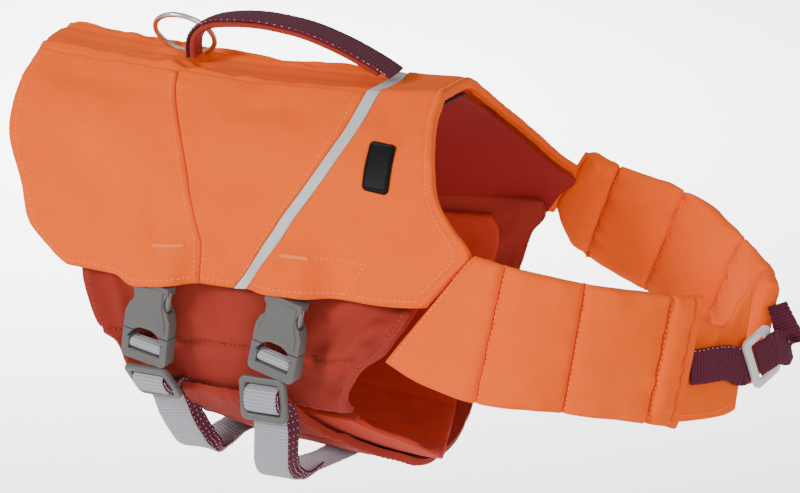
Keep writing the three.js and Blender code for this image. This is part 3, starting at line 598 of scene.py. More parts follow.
backPanels = {
    "puff": 1.2,
    "troughDepth": 2.3, "band": {"low": -2.4, "seamAt": 20, "ridge": 2.4, "midAt": 9, "middle": 0.9},
    "footCreases": {"at": 79, "count": 7, "deep": 1.6, "reach": 15, "wide": 10},
    "hemBumps": [{"x": -56, "wide": 23, "out": 13, "drop": 3.5},
                 {"x": 36, "wide": 23, "out": 13.5, "drop": 3.5}],
    # troughs on the right side, by x and by girth from the middle of the back
    "troughs": [
        {"from": (-160, 40), "to": (-86, 48), "wide": 10, "deep": 0.9},
        {"from": (-150, 92), "to": (-92, 120), "wide": 16, "deep": 1.2},
        {"from": (-132, 150), "to": (-96, 118), "wide": 8, "deep": 0.8},
        {"from": (-80, 70), "to": (-104, 128), "wide": 13, "deep": 0.9},
        {"from": (-66, 118), "to": (-50, 160), "wide": 6, "deep": 0.9},
        {"from": (-44, 90), "to": (8, 104), "wide": 13, "deep": 1.0},
        {"from": (-30, 52), "to": (30, 44), "wide": 10, "deep": 0.9},
        {"from": (-18, 132), "to": (10, 160), "wide": 9, "deep": 0.9},
        {"from": (70, 36), "to": (92, 62), "wide": 9, "deep": 0.9},
        {"from": (60, 100), "to": (110, 128), "wide": 12, "deep": 1.1},
        {"from": (48, 146), "to": (88, 158), "wide": 8, "deep": 0.8},
        {"from": (26, 118), "to": (52, 150), "wide": 9, "deep": -0.7},
    ],
}


def saddleRelief(x, s, point):
    side = abs(s)
    marks = backPanels["troughs"]
    total = backPanels["troughDepth"] * creases(marks, x, side if s < 0 else side * 1.03 - 4)
    total += waves(point, 3.2, 0.7)
    for bump in backPanels["hemBumps"]:
        if s < 0:
            near = math.exp(-(((x - bump["x"]) / bump["wide"]) ** 4))
            total += bump["out"] * near * ease((side - 124) / 46)
    return total


def hemGirth(x, s):
    # the hem hangs a little lower where it laps over a buckle
    girth = read(hemLine, x)
    if s < 0:
        for bump in backPanels["hemBumps"]:
            girth += bump["drop"] * math.exp(-(((x - bump["x"]) / bump["wide"]) ** 4))
    return girth


def sidePanel(name, side, rearLine, frontLine):
    low = bandHalf + seamGap

    def flatPlace(u, v):
        s = mix(low, flatHem, v)
        x = mix(rearLine(s), frontLine(s), u)
        return x, side * mix(low, hemGirth(x, side), v)

    def relief(u, v, a, b, wide, long, point):
        x, s = flatPlace(u, v)
        rear, front, top, hem = edges(u, v, wide, long)
        total = backPanels["puff"] + saddleRelief(x, s, point)
        total += rim(rear, 4, 2.0) + rim(front, 4, 1.9) + rim(top, 3, 1.6) + rim(hem, 3.4, 2.0)
        total += pucker(rear - 4, b, 5, 0.5, 6, 1.3) + pucker(hem - 4, a, 5, 0.45, 7, 2.1)
        total += pucker(front - 2, b, 7, 0.6, 6.5, 3.4) + pucker(top, a, 9, 0.7, 11, 4.2)
        return total

    piece = clothPiece(name, lambda u, v: saddle(*flatPlace(u, v)), relief, padWall(4.2, 6.6), trunkHeart)
    finishPad(piece, name, orangeCloth, "orange_shell")


def addBack():
    def rear(s):
        return read(rearEdge, s)

    def seam(s):
        return read(sideSeam, s)

    for side, label in ((-1, "right"), (1, "left")):
        sidePanel("rear_panel_" + label, side, rear, lambda s: seam(s) - seamGap / 2)
        sidePanel("mid_panel_" + label, side, lambda s: seam(s) + seamGap / 2,
                  lambda s: stripeX(s) - stripeHalf - seamGap)

    def bandPlace(u, v):
        s = mix(-bandHalf, bandHalf, v) * (1 - seamGap / bandHalf)
        return mix(rear(abs(s)), stripeX(s) - stripeHalf - seamGap, u), s

    def bandRelief(u, v, a, b, wide, long, point):
        x, s = bandPlace(u, v)
        band, foot = backPanels["band"], backPanels["footCreases"]
        level = 0.4 if u < 0.42 else mix(0.4, band["low"], ease((u - 0.42) / 0.04))
        total = level + rim(b, 4, 1.4) + rim(long - b, 4, 1.4) + rim(a, 4, 1.6) + rim(wide - a, 3, 0.8)
        total += band["ridge"] * bell(abs(s) - band["seamAt"], 3.4)
        total += band["middle"] * bell(abs(s) - band["midAt"], 4)
        total += pucker(abs(s) - band["seamAt"], x, 7, 0.8, 13, 5.1 + math.copysign(1, s))
        # creases spread like spokes from the handle's rear foot
        reach, turn = math.hypot(x + foot["at"], s), math.atan2(s, x + foot["at"])
        spokes = math.cos(foot["count"] * turn + 0.6 * math.sin(reach * 0.2))
        total += foot["deep"] * spokes * bell(reach - foot["reach"], foot["wide"])
        return total + waves(point, 0.4, 0.2)

    piece = clothPiece("spine_band", lambda u, v: saddle(*bandPlace(u, v)), bandRelief, padWall(3.4, 6.0),
                       trunkHeart)
    finishPad(piece, "spine_band", orangeCloth, "orange_shell")

    def yokePlace(u, v):
        s = mix(-flatHem, flatHem, u)
        x = mix(stripeX(s) + stripeHalf + seamGap, neckX(s), v)
        return x, mix(-1, 1, u) * hemGirth(x, s)

    def yokeRelief(u, v, a, b, wide, long, point):
        x, s = yokePlace(u, v)
        depth = neckX(mix(-flatHem, flatHem, u)) - stripeX(mix(-flatHem, flatHem, u))
        fromNeck, fromStripe, hem = (1 - v) * depth, v * depth, flatHem - abs(s)
        fold = bell(abs(s) - bandHalf, 6)
        total = 1.2 + saddleRelief(x, s, point) * (1 - 0.6 * fold)
        total += rim(fromNeck, 5, 2.4) + rim(fromStripe, 3, 1.4) + rim(hem, 3.4, 2.0)
        total -= 0.8 * bell(fromNeck - 5, 1.6)
        total += pucker(fromNeck - 5, a, 5, 0.55, 5.5, 6.7) + pucker(fromStripe, a, 6, 0.35, 7, 7.9)
        total += pucker(hem - 4, x, 5, 0.3, 7, 8.8)
        if s > 60:
            total += 1.6 * bell(fromNeck - 16, 10) * ease((150 - s) / 40)
        return total

    piece = clothPiece("front_yoke", lambda u, v: saddle(*yokePlace(u, v)), yokeRelief, padWall(4.4, 6.8),
                       trunkHeart)
    finishPad(piece, "front_yoke", orangeCloth, "orange_shell")

    def tapePlace(u, v):
        s = mix(-flatHem, flatHem, u)
        x = stripeX(s) + mix(-stripeHalf, stripeHalf, v)
        return saddle(x, mix(-1, 1, u) * hemGirth(x, s))

    def tapeRelief(u, v, a, b, wide, long, point):
        s = mix(-flatHem, flatHem, u)
        across = abs(v - 0.5) * 2
        total = 0.55 + saddleRelief(point[0], s, point) * 0.75 - 0.3 * across ** 6
        return total + 0.12 * noise.noise(Vector((a / 9, b, 0)))

    piece = clothPiece("reflective_stripe", tapePlace, tapeRelief, lambda u, v, wide, long: 1.1, trunkHeart,
                       cell=1.6, pull=0.2)
    finishPiece(piece, "reflective_tape_sewn", silverTape, "reflective_tape", "jacket", "reflective_stripe")

    def liningPlace(u, v):
        s = mix(-flatHem, flatHem, u)
        x = mix(read(rearEdge, abs(s)) + 5, neckX(s) - 4, v)
        return saddle(x, mix(-1, 1, u) * (read(hemLine, x) - 1.5))

    def liningRelief(u, v, a, b, wide, long, point):
        side = abs(mix(-flatHem, flatHem, u))
        return mix(-11.0, -9.6, ease((side - 124) / 22)) + 0.5 * waves(point, 0.8, 0.3, 40)

    piece = clothPiece("body_lining", liningPlace, liningRelief, lambda u, v, wide, long: 1.2, trunkHeart,
                       cell=3.2, pull=0.3)
    finishPiece(piece, "body_lining_cloth", liningCloth, "red_lining", "jacket", "body_lining")
    print("back panels sewn")


# Flanks, belly panel and belly pad

girdle = {
    "channel": -146,  # height of the flanks' sewn channel
    "bellyLines": (-0.72, -0.2, 0.35, 0.85),
    "padLines": (-0.55, -0.1, 0.42, 0.95, 1.3),
    "girth": 120,  # mm of cloth to each part of the belly's cut
    "rightCreases": [
        {"from": (112, -98), "to": (58, -132), "wide": 6, "deep": 1.6},
        {"from": (108, -112), "to": (72, -148), "wide": 5, "deep": 1.5},
        {"from": (96, -128), "to": (40, -140), "wide": 5, "deep": 1.2},
        {"from": (88, -140), "to": (58, -172), "wide": 5, "deep": 1.3},
        {"from": (-100, -104), "to": (-88, -142), "wide": 6, "deep": 1.3},
        {"from": (-86, -100), "to": (-74, -132), "wide": 6, "deep": 1.0},
        {"from": (-78, -150), "to": (-70, -182), "wide": 5, "deep": 1.2},
        {"from": (-20, -100), "to": (-12, -138), "wide": 8, "deep": 0.9},
        {"from": (10, -158), "to": (52, -164), "wide": 6, "deep": 0.9},
    ],
    # on the pad's inner face and on the belly panel, by x and by girth from the middle
    "padFolds": [
        {"from": (58, -96), "to": (50, -20), "wide": 4, "deep": -1.5},
        {"from": (112, -84), "to": (66, -30), "wide": 5, "deep": -1.4},
        {"from": (30, -90), "to": (96, -66), "wide": 5, "deep": -0.9},
        {"from": (14, -70), "to": (24, -10), "wide": 5, "deep": -1.0},
        {"from": (90, -20), "to": (40, 50), "wide": 8, "deep": -1.1},
    ],
    "bellyCreases": [
        {"from": (90, -60), "to": (20, -36), "wide": 7, "deep": 1.4},
        {"from": (80, 12), "to": (-10, 36), "wide": 9, "deep": 1.3},
        {"from": (60, 72), "to": (-30, 84), "wide": 9, "deep": 1.2},
    ],
}


def channelShare(foot):
    # how far down a flank its sewn channel runs
    return (hemZ - girdle["channel"]) / (hemZ - foot)


def addGirdle():
    def rightPlace(u, v):
        z = mix(hemZ, flankFoot, v)
        return mix(read(flankRear, z), read(rightFlankFront, z), u), z

    def rightRelief(u, v, a, b, wide, long, point):
        x, z = rightPlace(u, v)
        channel = abs(z - girdle["channel"])
        total = 0.8 + rim(a, 4, 2.2) + rim(wide - a, 4, 2.2) + rim(long - b, 4, 2.2)
        total += 0.8 * bell(channel - 9, 7) - 2.0 * bell(channel, 1.5) * ease((84 - x) / 20)
        total += pucker(channel, x, 8, 0.9, 5.5, 2.2) * ease((92 - x) / 20)
        total += pucker(long - b - 3, a, 5, 0.35, 6, 3.1) + pucker(wide - a - 4, b, 5, 0.45, 5, 4.1)
        return total + 3.2 * creases(girdle["rightCreases"], x, z) + waves(point, 2.0, 0.6, 40)

    piece = clothPiece("flank_right", lambda u, v: rightFlank(*rightPlace(u, v)), rightRelief,
                       padWall(3, 5.6), trunkHeart, alongLines=[channelShare(flankFoot)])
    finishPad(piece, "flank_right", rustCloth, "rust_shell")

    def leftPlace(u, v):
        z = mix(hemZ, leftFoot, v)
        return mix(read(flankRear, z), read(leftFlankFront, z), u), z

    def leftWrap(u, v):
        x, z = leftPlace(u, v)
        return cradle(x, 1 + (z - edgeZ) / 100)

    def leftRelief(u, v, a, b, wide, long, point):
        x, z = leftPlace(u, v)
        channel = abs(z - girdle["channel"])
        total = 0.8 + rim(a, 4, 2.2) + rim(wide - a, 4, 2.2) + rim(long - b, 4, 1.8)
        total -= 1.9 * bell(channel, 2.6)
        total += pucker(channel, x, 7, 0.55, 5.5, 5.2)
        return total + creases(girdle["rightCreases"], x - 12, z) + waves(point, 1.2, 0.35, 40)

    piece = clothPiece("flank_left", leftWrap, leftRelief, padWall(3, 5.6), trunkHeart)
    finishPad(piece, "flank_left", rustCloth, "rust_shell")

    def panelPlace(u, v):
        part = mix(-1, 0.99, v)
        return mix(mix(-50, -44, abs(part)), read(panelFront, part), u), part

    def panelRelief(u, v, a, b, wide, long, point):
        x, part = panelPlace(u, v)
        total = 0.8 + rim(a, 4, 2.2) + rim(wide - a, 4, 2.2) + rim(b, 4, 2.2) + rim(long - b, 4, 1.8)
        for line in girdle["bellyLines"]:
            total -= 1.5 * bell(part - line, 0.022)
            total += pucker((part - line) * girdle["girth"], x, 8, 0.55, 6, line)
        total += pucker(b - 3, a, 5, 0.5, 6, 6.1)
        total += creases(girdle["bellyCreases"], x, part * girdle["girth"])
        return total + waves(point, 1.1, 0.3, 40)

    piece = clothPiece("belly_panel", lambda u, v: cradle(*panelPlace(u, v)), panelRelief, padWall(3, 5.6),
                       bellyHeart, alongLines=[0.14, 0.4])
    finishPad(piece, "belly_panel", rustCloth, "rust_shell")

    def padPlace(u, v):
        part = mix(-0.88, 1.72, v)
        return cradle(mix(-40, read(padFront, part), u), part)

    def padRelief(u, v, a, b, wide, long, point):
        return -7.0 + 0.5 * waves(point, 0.8, 0.3, 30)

    def padThickness(u, v, wide, long):
        x, part = padPlace(u, v)[0], mix(-0.88, 1.72, v)
        soft = padWall(2.4, 4.4, 8)(u, v, wide, long)
        near = v * long
        soft += 1.6 * bell(near - 3.5, 2.6) - 2.2 * creases(girdle["padFolds"], x, part * girdle["girth"])
        soft += pucker(near - 6, u * wide, 9, 1.1, 14, 3.3)
        quilting = sum(bell(part - line, 0.03) for line in girdle["padLines"])
        return max(1.4, soft - 1.9 * quilting + 0.7 * noise.noise(Vector((u * 16, v * 22, 2))))

    piece = clothPiece("belly_pad", padPlace, padRelief, padThickness, padHeart)
    finishPad(piece, "belly_pad", padLiningPaintedLight, "red_lining")
    rows = []
    for k in range(25):
        point, out = onCloth("belly_pad_inside", k / 24, 0.004)
        sway = 1.3 * math.sin(k * 0.9) + 0.8 * math.sin(k * 0.41 + 1)
        rows.append((tuple(point / mm + out * (0.8 + sway)), tuple(out)))
    strapPiece("belly_pad_binding", rows, rustCloth, "rust_shell", wide=5.4, thick=2.8, saw=0.0)
    print("flanks and belly sewn")


# Neck arms: quilted pads between upright seams

arms = {
    "right": {
        "rows": [
            (0, (158.2, -111, -61), (104.6, -122, -134)), (0.12, (168, -114, -62), (134, -127, -144)),
            (0.25, (180, -115, -64), (167, -130, -149.5)), (0.5, (228, -105, -73), (220, -120, -152.5)),
            (0.75, (275, -77, -84), (265, -93, -163)), (1, (291, -61, -88), (281, -77, -171)),
        ],
        "seams": [0, 0.25, 0.5, 0.75, 0.91, 1],
        "tuck": 0.0,
    },
    "left": {
        "rows": [
            (0, (172, 101, -57.5), (145, 117, -110)), (0.1, (182, 103, -61.5), (154, 118, -128)),
            (0.2, (194, 103, -66), (170, 115, -138)), (0.4, (242, 93, -75), (214, 103, -151)),
            (0.6, (287, 61, -91), (262, 74, -162)), (0.8, (311, 29, -97), (291, 36, -170)),
            (1, (320, 8, -99), (305, 14, -172)),
        ],
        "seams": [0.02, 0.22, 0.42, 0.62, 0.82, 1],
        "tuck": 0.06,
    },
    "flap": {
        "folds": [
            {"from": (44, 4), "to": (26, 22), "wide": 3.4, "deep": 1.8},
            {"from": (50, 2), "to": (40, 30), "wide": 3, "deep": -1.3},
            {"from": (14, 30), "to": (50, 52), "wide": 8, "deep": 0.9},
        ],
        "rows": [
            (0, (268.8, -67.2, -95), (262.8, -81.2, -168)),
            (0.35, (288.4, -49.8, -107), (281.6, -65.2, -170)),
            (0.7, (299, -32, -116), (296, -51, -171)), (0.85, (304, -18, -104), (303, -45, -170)),
            (1, (309, -8, -94), (308, -40, -168)),
        ],
    },
}


def armWall(rows, u, v):
    # a point between the top and the foot of an arm's rows
    top, foot = ([read([(row[0], row[end][k]) for row in rows], u) for k in range(3)] for end in (1, 2))
    return tuple(mix(a, b, v) for a, b in zip(top, foot))


def addArms():
    for label in ("right", "left"):
        arm = arms[label]
        seams, tuck = arm["seams"], arm["tuck"]

        def pillow(u):
            # how full the channel is here, and which one it is
            i = max(k for k in range(len(seams) - 1) if seams[k] <= u or k == 0)
            t = clamp((u - seams[i]) / (seams[i + 1] - seams[i]))
            fromEnd = 1 if i == len(seams) - 2 else 1 - t
            inside = clamp(min(t, fromEnd) / 0.42)
            full = clamp((seams[i + 1] - seams[i]) / 0.17, 0.45)
            return full * math.sqrt(1 - (1 - inside) ** 2), i

        def sewn(u, wide):
            # the narrow cut of a stitch line, on both faces
            return sum(bell((u - s) * wide, 1.25) for s in seams[1:-1])

        def relief(u, v, a, b, wide, long, point):
            lift, cellIndex = pillow(u)
            nearest = min(seams[1:-1], key=lambda s: abs(u - s))
            near = abs(u - nearest) * wide
            top = min(b, long - b)
            edge = (rim(top, 11, 4.2) + rim(a, 4, 1.2)) * mix(0.4, 1, lift)
            total = mix(-0.4, 3.6, lift) + edge + rim(wide - a, 6, 3.6)
            total += pucker(near, b, 9, 1.4, 7, 9 * nearest) - 1.9 * sewn(u, wide)
            total += pucker(top - 4, a, 6, 0.8, 8, 9.3)
            slant = noise.noise(Vector((a / 26, b / 60, cellIndex * 3.1)))
            return total + 1.7 * slant * lift + 0.45 * noise.noise(Vector((a / 9, b / 16, 4)))

        def inner(u, v, a, b, wide, long):
            lift, cellIndex = pillow(u)
            nearest = min(seams[1:-1], key=lambda s: abs(u - s))
            near = abs(u - nearest) * wide
            top = min(b, long - b)
            edge = (rim(top, 12, 4.6) + rim(a, 4, 1.0)) * mix(0.4, 1, lift)
            total = mix(4.6, 9.4, lift) + edge + rim(wide - a, 6, 4.4)
            total += pucker(near, b, 9, 1.4, 7, 30 + 9 * nearest) - 2.2 * sewn(u, wide)
            total += pucker(top - 4, a, 6, 0.8, 8, 19.3)
            return total + 1.5 * noise.noise(Vector((a / 24, b / 50, cellIndex * 2.1 + 7))) * lift

        def place(u, v):
            # before its first row the arm runs straight on, tucked under the yoke
            if u >= tuck:
                return armWall(arm["rows"], (u - tuck) / (1 - tuck), v)
            step = 0.03
            here, ahead = armWall(arm["rows"], 0, v), armWall(arm["rows"], step, v)
            return tuple(h - (n - h) * (tuck - u) / (1 - tuck) / step for h, n in zip(here, ahead))

        name = "neck_arm_" + label

        piece = clothPiece(name, place, relief, None, chestHeart, cell=1.9, pull=0.3, inner=inner,
                           acrossLines=seams[1:-1])
        finishPad(piece, name, orangeCloth, "orange_shell")

    def flapRelief(u, v, a, b, wide, long, point):
        total = rim(b, 6, 1.6) + rim(long - b, 5, 1.6) + rim(wide - a, 4, 1.2)
        total += pucker(long - b - 5, a, 5, 0.4, 6, 1.1)
        return total + creases(arms["flap"]["folds"], a, b) + waves(point, 1.0, 0.3, 30)

    piece = clothPiece("front_flap", lambda u, v: armWall(arms["flap"]["rows"], u, v), flapRelief,
                       padWall(2.2, 4.6), chestHeart, cell=1.6)
    finishPad(piece, "front_flap", orangeCloth, "orange_shell")
    print("neck arms sewn")


# Webbing: a flat strap swept along a curve through its points

straps = {}
webbingEdge = {"half": 6, "flatTo": 0.86, "roundOver": 0.15, "edgeThick": 0.25, "tooth": 1.3}


def curveThrough(points, count):
    # centripetal curve through the points, evenly over them
    pts = [Vector(p) for p in points]
    pts = [pts[0] * 2 - pts[1], *pts, pts[-1] * 2 - pts[-2]]
    made, last = [], len(points) - 1
    for k in range(count + 1):
        place = k / count * last
        i = min(int(place), last - 1)
        t = place - i
        p0, p1, p2, p3 = pts[i:i + 4]
        d0, d1, d2 = ((q - p).length ** 0.5 or 1e-4 for p, q in ((p0, p1), (p1, p2), (p2, p3)))
        m1 = ((p1 - p0) / d0 - (p2 - p0) / (d0 + d1) + (p2 - p1) / d1) * d1
        m2 = ((p2 - p1) / d1 - (p3 - p1) / (d1 + d2) + (p3 - p2) / d2) * d1
        t2, t3 = t * t, t * t * t
        here = p1 * (2 * t3 - 3 * t2 + 1) + m1 * (t3 - 2 * t2 + t)
        made.append(here + p2 * (3 * t2 - 2 * t3) + m2 * (t3 - t2))
    return made


def strapPiece(name, rows, material, slot, wide=23, thick=1.8, lift=0.0, step=1.3, saw=0.35, crown=0.0,
               nodesStoodFor=()):
    # rows are (point, side to side line); wide may be a function of how far along
    widthAt = wide if callable(wide) else (lambda t: wide)
    rough = curveThrough([row[0] for row in rows], 60)
    length = sum((q - p).length for p, q in zip(rough, rough[1:]))
    count = int(length / step)
    line = curveThrough([row[0] for row in rows], count)
    half = webbingEdge["half"]
    profile = [(k / half, 1) for k in range(-half, half + 1)]
    profile += [(-across, -1) for across, _ in profile]
    vertices, uvs, along = [], [], 0.0
    tops = []
    for k, point in enumerate(line):
        t = k / count
        tangent = (line[min(k + 1, count)] - line[max(k - 1, 0)]).normalized()
        place = t * (len(rows) - 1)
        i = min(int(place), len(rows) - 2)
        side = Vector(rows[i][1]).lerp(Vector(rows[i + 1][1]), place - i)
        side = (side - tangent * side.dot(tangent)).normalized()
        out = tangent.cross(side).normalized()
        if k:
            along += (point - line[k - 1]).length
        reach = widthAt(t) / 2 + saw * (0.5 if int(along / webbingEdge["tooth"]) % 2 else -0.5)
        for across, face in profile:
            past = max(0, abs(across) - webbingEdge["flatTo"]) / webbingEdge["roundOver"]
            thickness = mix(webbingEdge["edgeThick"], 1, math.sqrt(max(0, 1 - past * past)))
            rise = lift + face * thick / 2 * thickness + crown * (1 - across * across)
            vertices.append((point + side * (across * reach) + out * rise) * mm)
            uvs.append((across * reach * mm, along * mm))
        tops.append((point + out * (lift + thick / 2), side, out, tangent, reach))
    ring = len(profile)
    faces = []
    for k in range(count):
        for j in range(ring):
            a, b = k * ring + j, k * ring + (j + 1) % ring
            faces.append((a, b, b + ring, a + ring))
    faces.append(tuple(range(ring))[::-1])
    faces.append(tuple(count * ring + j for j in range(ring)))
    data = bpy.data.meshes.new(name)
    data.from_pydata(vertices, [], faces)
    layer = data.uv_layers.new(name="UVMap")
    for loop in data.loops:
        layer.data[loop.index].uv = uvs[loop.vertex_index]
    piece = bpy.data.objects.new(name, data)
    bpy.context.scene.collection.objects.link(piece)
    bpy.context.view_layer.objects.active = piece
    piece.select_set(True)
    bpy.ops.object.mode_set(mode="EDIT")
    bpy.ops.mesh.select_all(action="SELECT")
    bpy.ops.mesh.normals_make_consistent(inside=False)
    bpy.ops.object.mode_set(mode="OBJECT")
    bpy.ops.object.shade_smooth_by_angle(angle=math.radians(50))
    bpy.ops.object.select_all(action="DESELECT")
    finishPiece(piece, name, material, slot, "jacket", *nodesStoodFor)
    straps[name] = tops
    return piece


def flecksOn(name, inset, start=0.0, end=1.0, every=2, sunk=0.0, edge=1):
    # thread flecks in a row along one edge of a strap, sunk below its top face
    tops = straps[name]
    last = len(tops) - 1
    return [((point + side * (edge * (reach - inset)) - out * sunk) * mm, out, tangent)
            for point, side, out, tangent, reach in tops[int(start * last):int(end * last) + 1:every]]


handle = {
    "line": [(-77, 12.4), (-77.4, 18), (-76.2, 27), (-70.5, 34.5), (-60, 40), (-45, 43), (-26, 44),
             (-8, 42.6), (8, 40), (22, 36), (36, 31), (50, 24.8), (60.5, 19.6), (68, 15.2)],
    "narrow": 15, "wide": 25,
}


def addHandle():
    rows = [((x, 0, z), (0, 1, 0)) for x, z in handle["line"]]

    def wide(t):
        return mix(handle["narrow"], handle["wide"], ease((t - 0.25) / 0.2))

    strapPiece("handle_webbing_woven", rows, burgundyWebbing, "burgundy_webbing", wide=wide, thick=2.2,
               lift=-1, crown=0.3, nodesStoodFor=["handle_webbing"])
    pad = strapPiece("handle_pad_foam", rows[:-1], rustCloth, "rust_shell", wide=lambda t: wide(t) - 1,
                     thick=4.2, lift=-4.3, saw=0.0, nodesStoodFor=["handle_pad"])
    spots = []
    for edge in (1, -1):
        spots += flecksOn("handle_webbing_woven", 0.3, 0.16, 0.97, every=3, sunk=0.9, edge=edge)
    sewPiece("handle_flecks", spots, paleFlecks, "burgundy_webbing", length=1.8, radius=0.42)
    print("handle made")


ring = {"at": (-82.2, 3.4, 25.4), "radius": 20.4, "wire": 1.8, "lean": 51.6,
        "weld": 0.13, "weldAt": -96, "weldWide": 3.2}


def addRing():
    # drawn wire bent round, with its weld at the low side
    bpy.ops.mesh.primitive_torus_add(major_segments=96, minor_segments=20, major_radius=ring["radius"] * mm,
                                     minor_radius=ring["wire"] * mm)
    piece = bpy.context.object
    for vertex in piece.data.vertices:
        angle = math.degrees(math.atan2(vertex.co.y, vertex.co.x))
        swell = 1 + ring["weld"] * bell(angle - ring["weldAt"], ring["weldWide"])
        flat = Vector((vertex.co.x, vertex.co.y, 0)).normalized() * ring["radius"] * mm
        vertex.co = flat + (vertex.co - flat) * swell
    turn = Matrix.Rotation(-math.radians(ring["lean"]), 4, "X")
    piece.data.transform(Matrix.Translation(Vector(ring["at"]) * mm) @ turn)
    bpy.ops.object.shade_smooth()
    finishPiece(piece, "lead_ring_wire", ringSteel, "steel_wire", "ring", "lead_ring")
    bpy.ops.object.select_all(action="DESELECT")
    print("ring made")


# Side-release buckles and sliders: modelled flat, x across, y up the webbing, z outward

buckleSize = {
    "yaw": 8, "half": 16.75, "waist": 13.4, "thick": 11,
    # each step of the socket: how far down, and half its width there
    "socket": [(-5, 13.4), (-13, 13.4), (-18, 14.6), (-22.5, 16.45), (-28, 16.75), (-34.5, 16.75)],
    "plate": {"inset": 3.2, "proud": 0.8},
    "scoop": {"out": 4.6, "y": -10.5, "radius": 7.2},
    "arch": {"y": -46.1, "radius": 15, "gap": 0.4, "sides": 64},
    "male": {"top": -35, "foot": -54.6, "corner": 3.6},
    "window": (-11.9, 11.9, -48.4, -40),
    "wrap": [(-41, -3), (-41.4, 1.6), (-42.6, 3.2), (-44.4, 3.8), (-46.2, 3.2), (-47.4, 1.4), (-47.6, -3)],
    "rear": {"at": (-54, -113.1, -104.6), "lean": 8, "pitch": 0},
    "front": {"at": (38, -114.5, -102.5), "lean": 12, "pitch": 0},
    "rearSlider": {"at": (-59, -108, -174.7), "lean": -4, "pitch": 35},
    "frontSlider": {"at": (20.5, -114, -173.7), "lean": -3, "pitch": 0},
    "slider": {"size": (34, 30, 4.2), "window": (24.6, 20.8), "corner": 4.6, "soften": 1.2},
}


def flankFrame(spot):
    turned = Matrix.Rotation(-math.radians(buckleSize["yaw"]), 4, "Z")
    turned = turned @ Matrix.Rotation(math.pi / 2 + math.radians(spot["pitch"]), 4, "X")
    turned = turned @ Matrix.Rotation(-math.radians(spot["lean"]), 4, "Z")
    return Matrix.Translation(Vector(spot["at"])) @ turned


def selectFaces(piece, wanted):
    bpy.ops.object.mode_set(mode="EDIT")
    bpy.ops.mesh.select_mode(type="FACE")
    bpy.ops.mesh.select_all(action="DESELECT")
    bpy.ops.object.mode_set(mode="OBJECT")
    for face in piece.data.polygons:
        face.select = wanted(face)
    bpy.ops.object.mode_set(mode="EDIT")


def bevelEdges(piece, width, segments=3, angle=32):
    bevel = piece.modifiers.new("soften", "BEVEL")
    bevel.width = width
    bevel.segments = segments
    bevel.limit_method = "ANGLE"
    bevel.angle_limit = math.radians(angle)
    bpy.context.view_layer.objects.active = piece
    bpy.ops.object.modifier_apply(modifier="soften")


def cutAway(piece, cutter):
    carve = piece.modifiers.new("carve", "BOOLEAN")
    carve.operation = "DIFFERENCE"
    carve.solver = "EXACT"
    carve.object = cutter
    bpy.context.view_layer.objects.active = piece
    bpy.ops.object.modifier_apply(modifier="carve")
    bpy.data.objects.remove(cutter)


def block(x0, x1, y0, y1, z0, z1):
    bpy.ops.object.select_all(action="DESELECT")
    bpy.ops.mesh.primitive_cube_add(size=1, location=((x0 + x1) / 2, (y0 + y1) / 2, (z0 + z1) / 2))
    made = bpy.context.object
    made.scale = (x1 - x0, y1 - y0, z1 - z0)
    bpy.ops.object.transform_apply(location=True, rotation=True, scale=True)
    return made


def cylinderBlock(x, y, radius, depth, sides=40):
    bpy.ops.object.select_all(action="DESELECT")
    bpy.ops.mesh.primitive_cylinder_add(vertices=sides, radius=radius, depth=depth, location=(x, y, 0))
    made = bpy.context.object
    bpy.ops.object.transform_apply(location=True, rotation=True, scale=True)
    return made


def placeHard(piece, at, name, material, slot, *replaced):
    bpy.ops.object.select_all(action="DESELECT")
    piece.select_set(True)
    bpy.context.view_layer.objects.active = piece
    bpy.ops.object.shade_smooth_by_angle(angle=math.radians(35))
    piece.data.transform(Matrix.Scale(mm, 4) @ at)
    finishPiece(piece, name, material, slot, "jacket", *replaced)
    bpy.ops.object.select_all(action="DESELECT")


def archCutter(gap):
    # the round mouth of the female half, and the male half's top inside it
    arch = buckleSize["arch"]
    return cylinderBlock(0, arch["y"], arch["radius"] - gap, 4 * buckleSize["thick"], arch["sides"])


def femaleHalf(at, place):
    waist, thick, plate, scoop = (buckleSize[key] for key in ("waist", "thick", "plate", "scoop"))
    # the socket is drawn down from its top face, flaring to the mouth
    bpy.ops.mesh.primitive_plane_add(size=1, location=(0, 0, 0))
    piece = bpy.context.object
    bpy.ops.object.mode_set(mode="EDIT")
    bpy.ops.mesh.select_all(action="SELECT")
    bpy.ops.transform.rotate(value=math.pi / 2, orient_axis="X", center_override=(0, 0, 0))
    bpy.ops.transform.resize(value=(2 * waist, 1, thick - 1.6), center_override=(0, 0, 0))
    before = (0, waist)
    for y, reach in buckleSize["socket"]:
        bpy.ops.mesh.extrude_region_move(TRANSFORM_OT_translate={"value": (0, y - before[0], 0)})
        bpy.ops.transform.resize(value=(reach / before[1], 1, 1), center_override=(0, y, 0))
        before = (y, reach)
    bpy.ops.mesh.select_all(action="SELECT")
    bpy.ops.mesh.normals_make_consistent(inside=False)
    bpy.ops.object.mode_set(mode="OBJECT")
    # the face plate stands proud between two long grooves
    selectFaces(piece, lambda face: abs(face.normal.z) > 0.9)
    bpy.ops.mesh.inset(thickness=plate["inset"], depth=0)
    bpy.ops.mesh.extrude_region_shrink_fatten(TRANSFORM_OT_shrink_fatten={"value": plate["proud"]})
    bpy.ops.object.mode_set(mode="OBJECT")
    bevelEdges(piece, 0.9, 3, 25)
    # thumb scoops and the openings where the prongs show
    for side in (-1, 1):
        cutAway(piece, cylinderBlock(side * (waist + scoop["out"]), scoop["y"], scoop["radius"], 4 * thick))
        cutAway(piece, block(side * (waist - 3.4), side * (waist + 3), -17.5, -3.2, -2.9, 2.9))
    cutAway(piece, archCutter(0))  # over the window at the mouth
    placeHard(piece, at, f"buckle_female_{place}_moulded", buckleGrey, "grey_plastic",
              f"buckle_female_{place}")


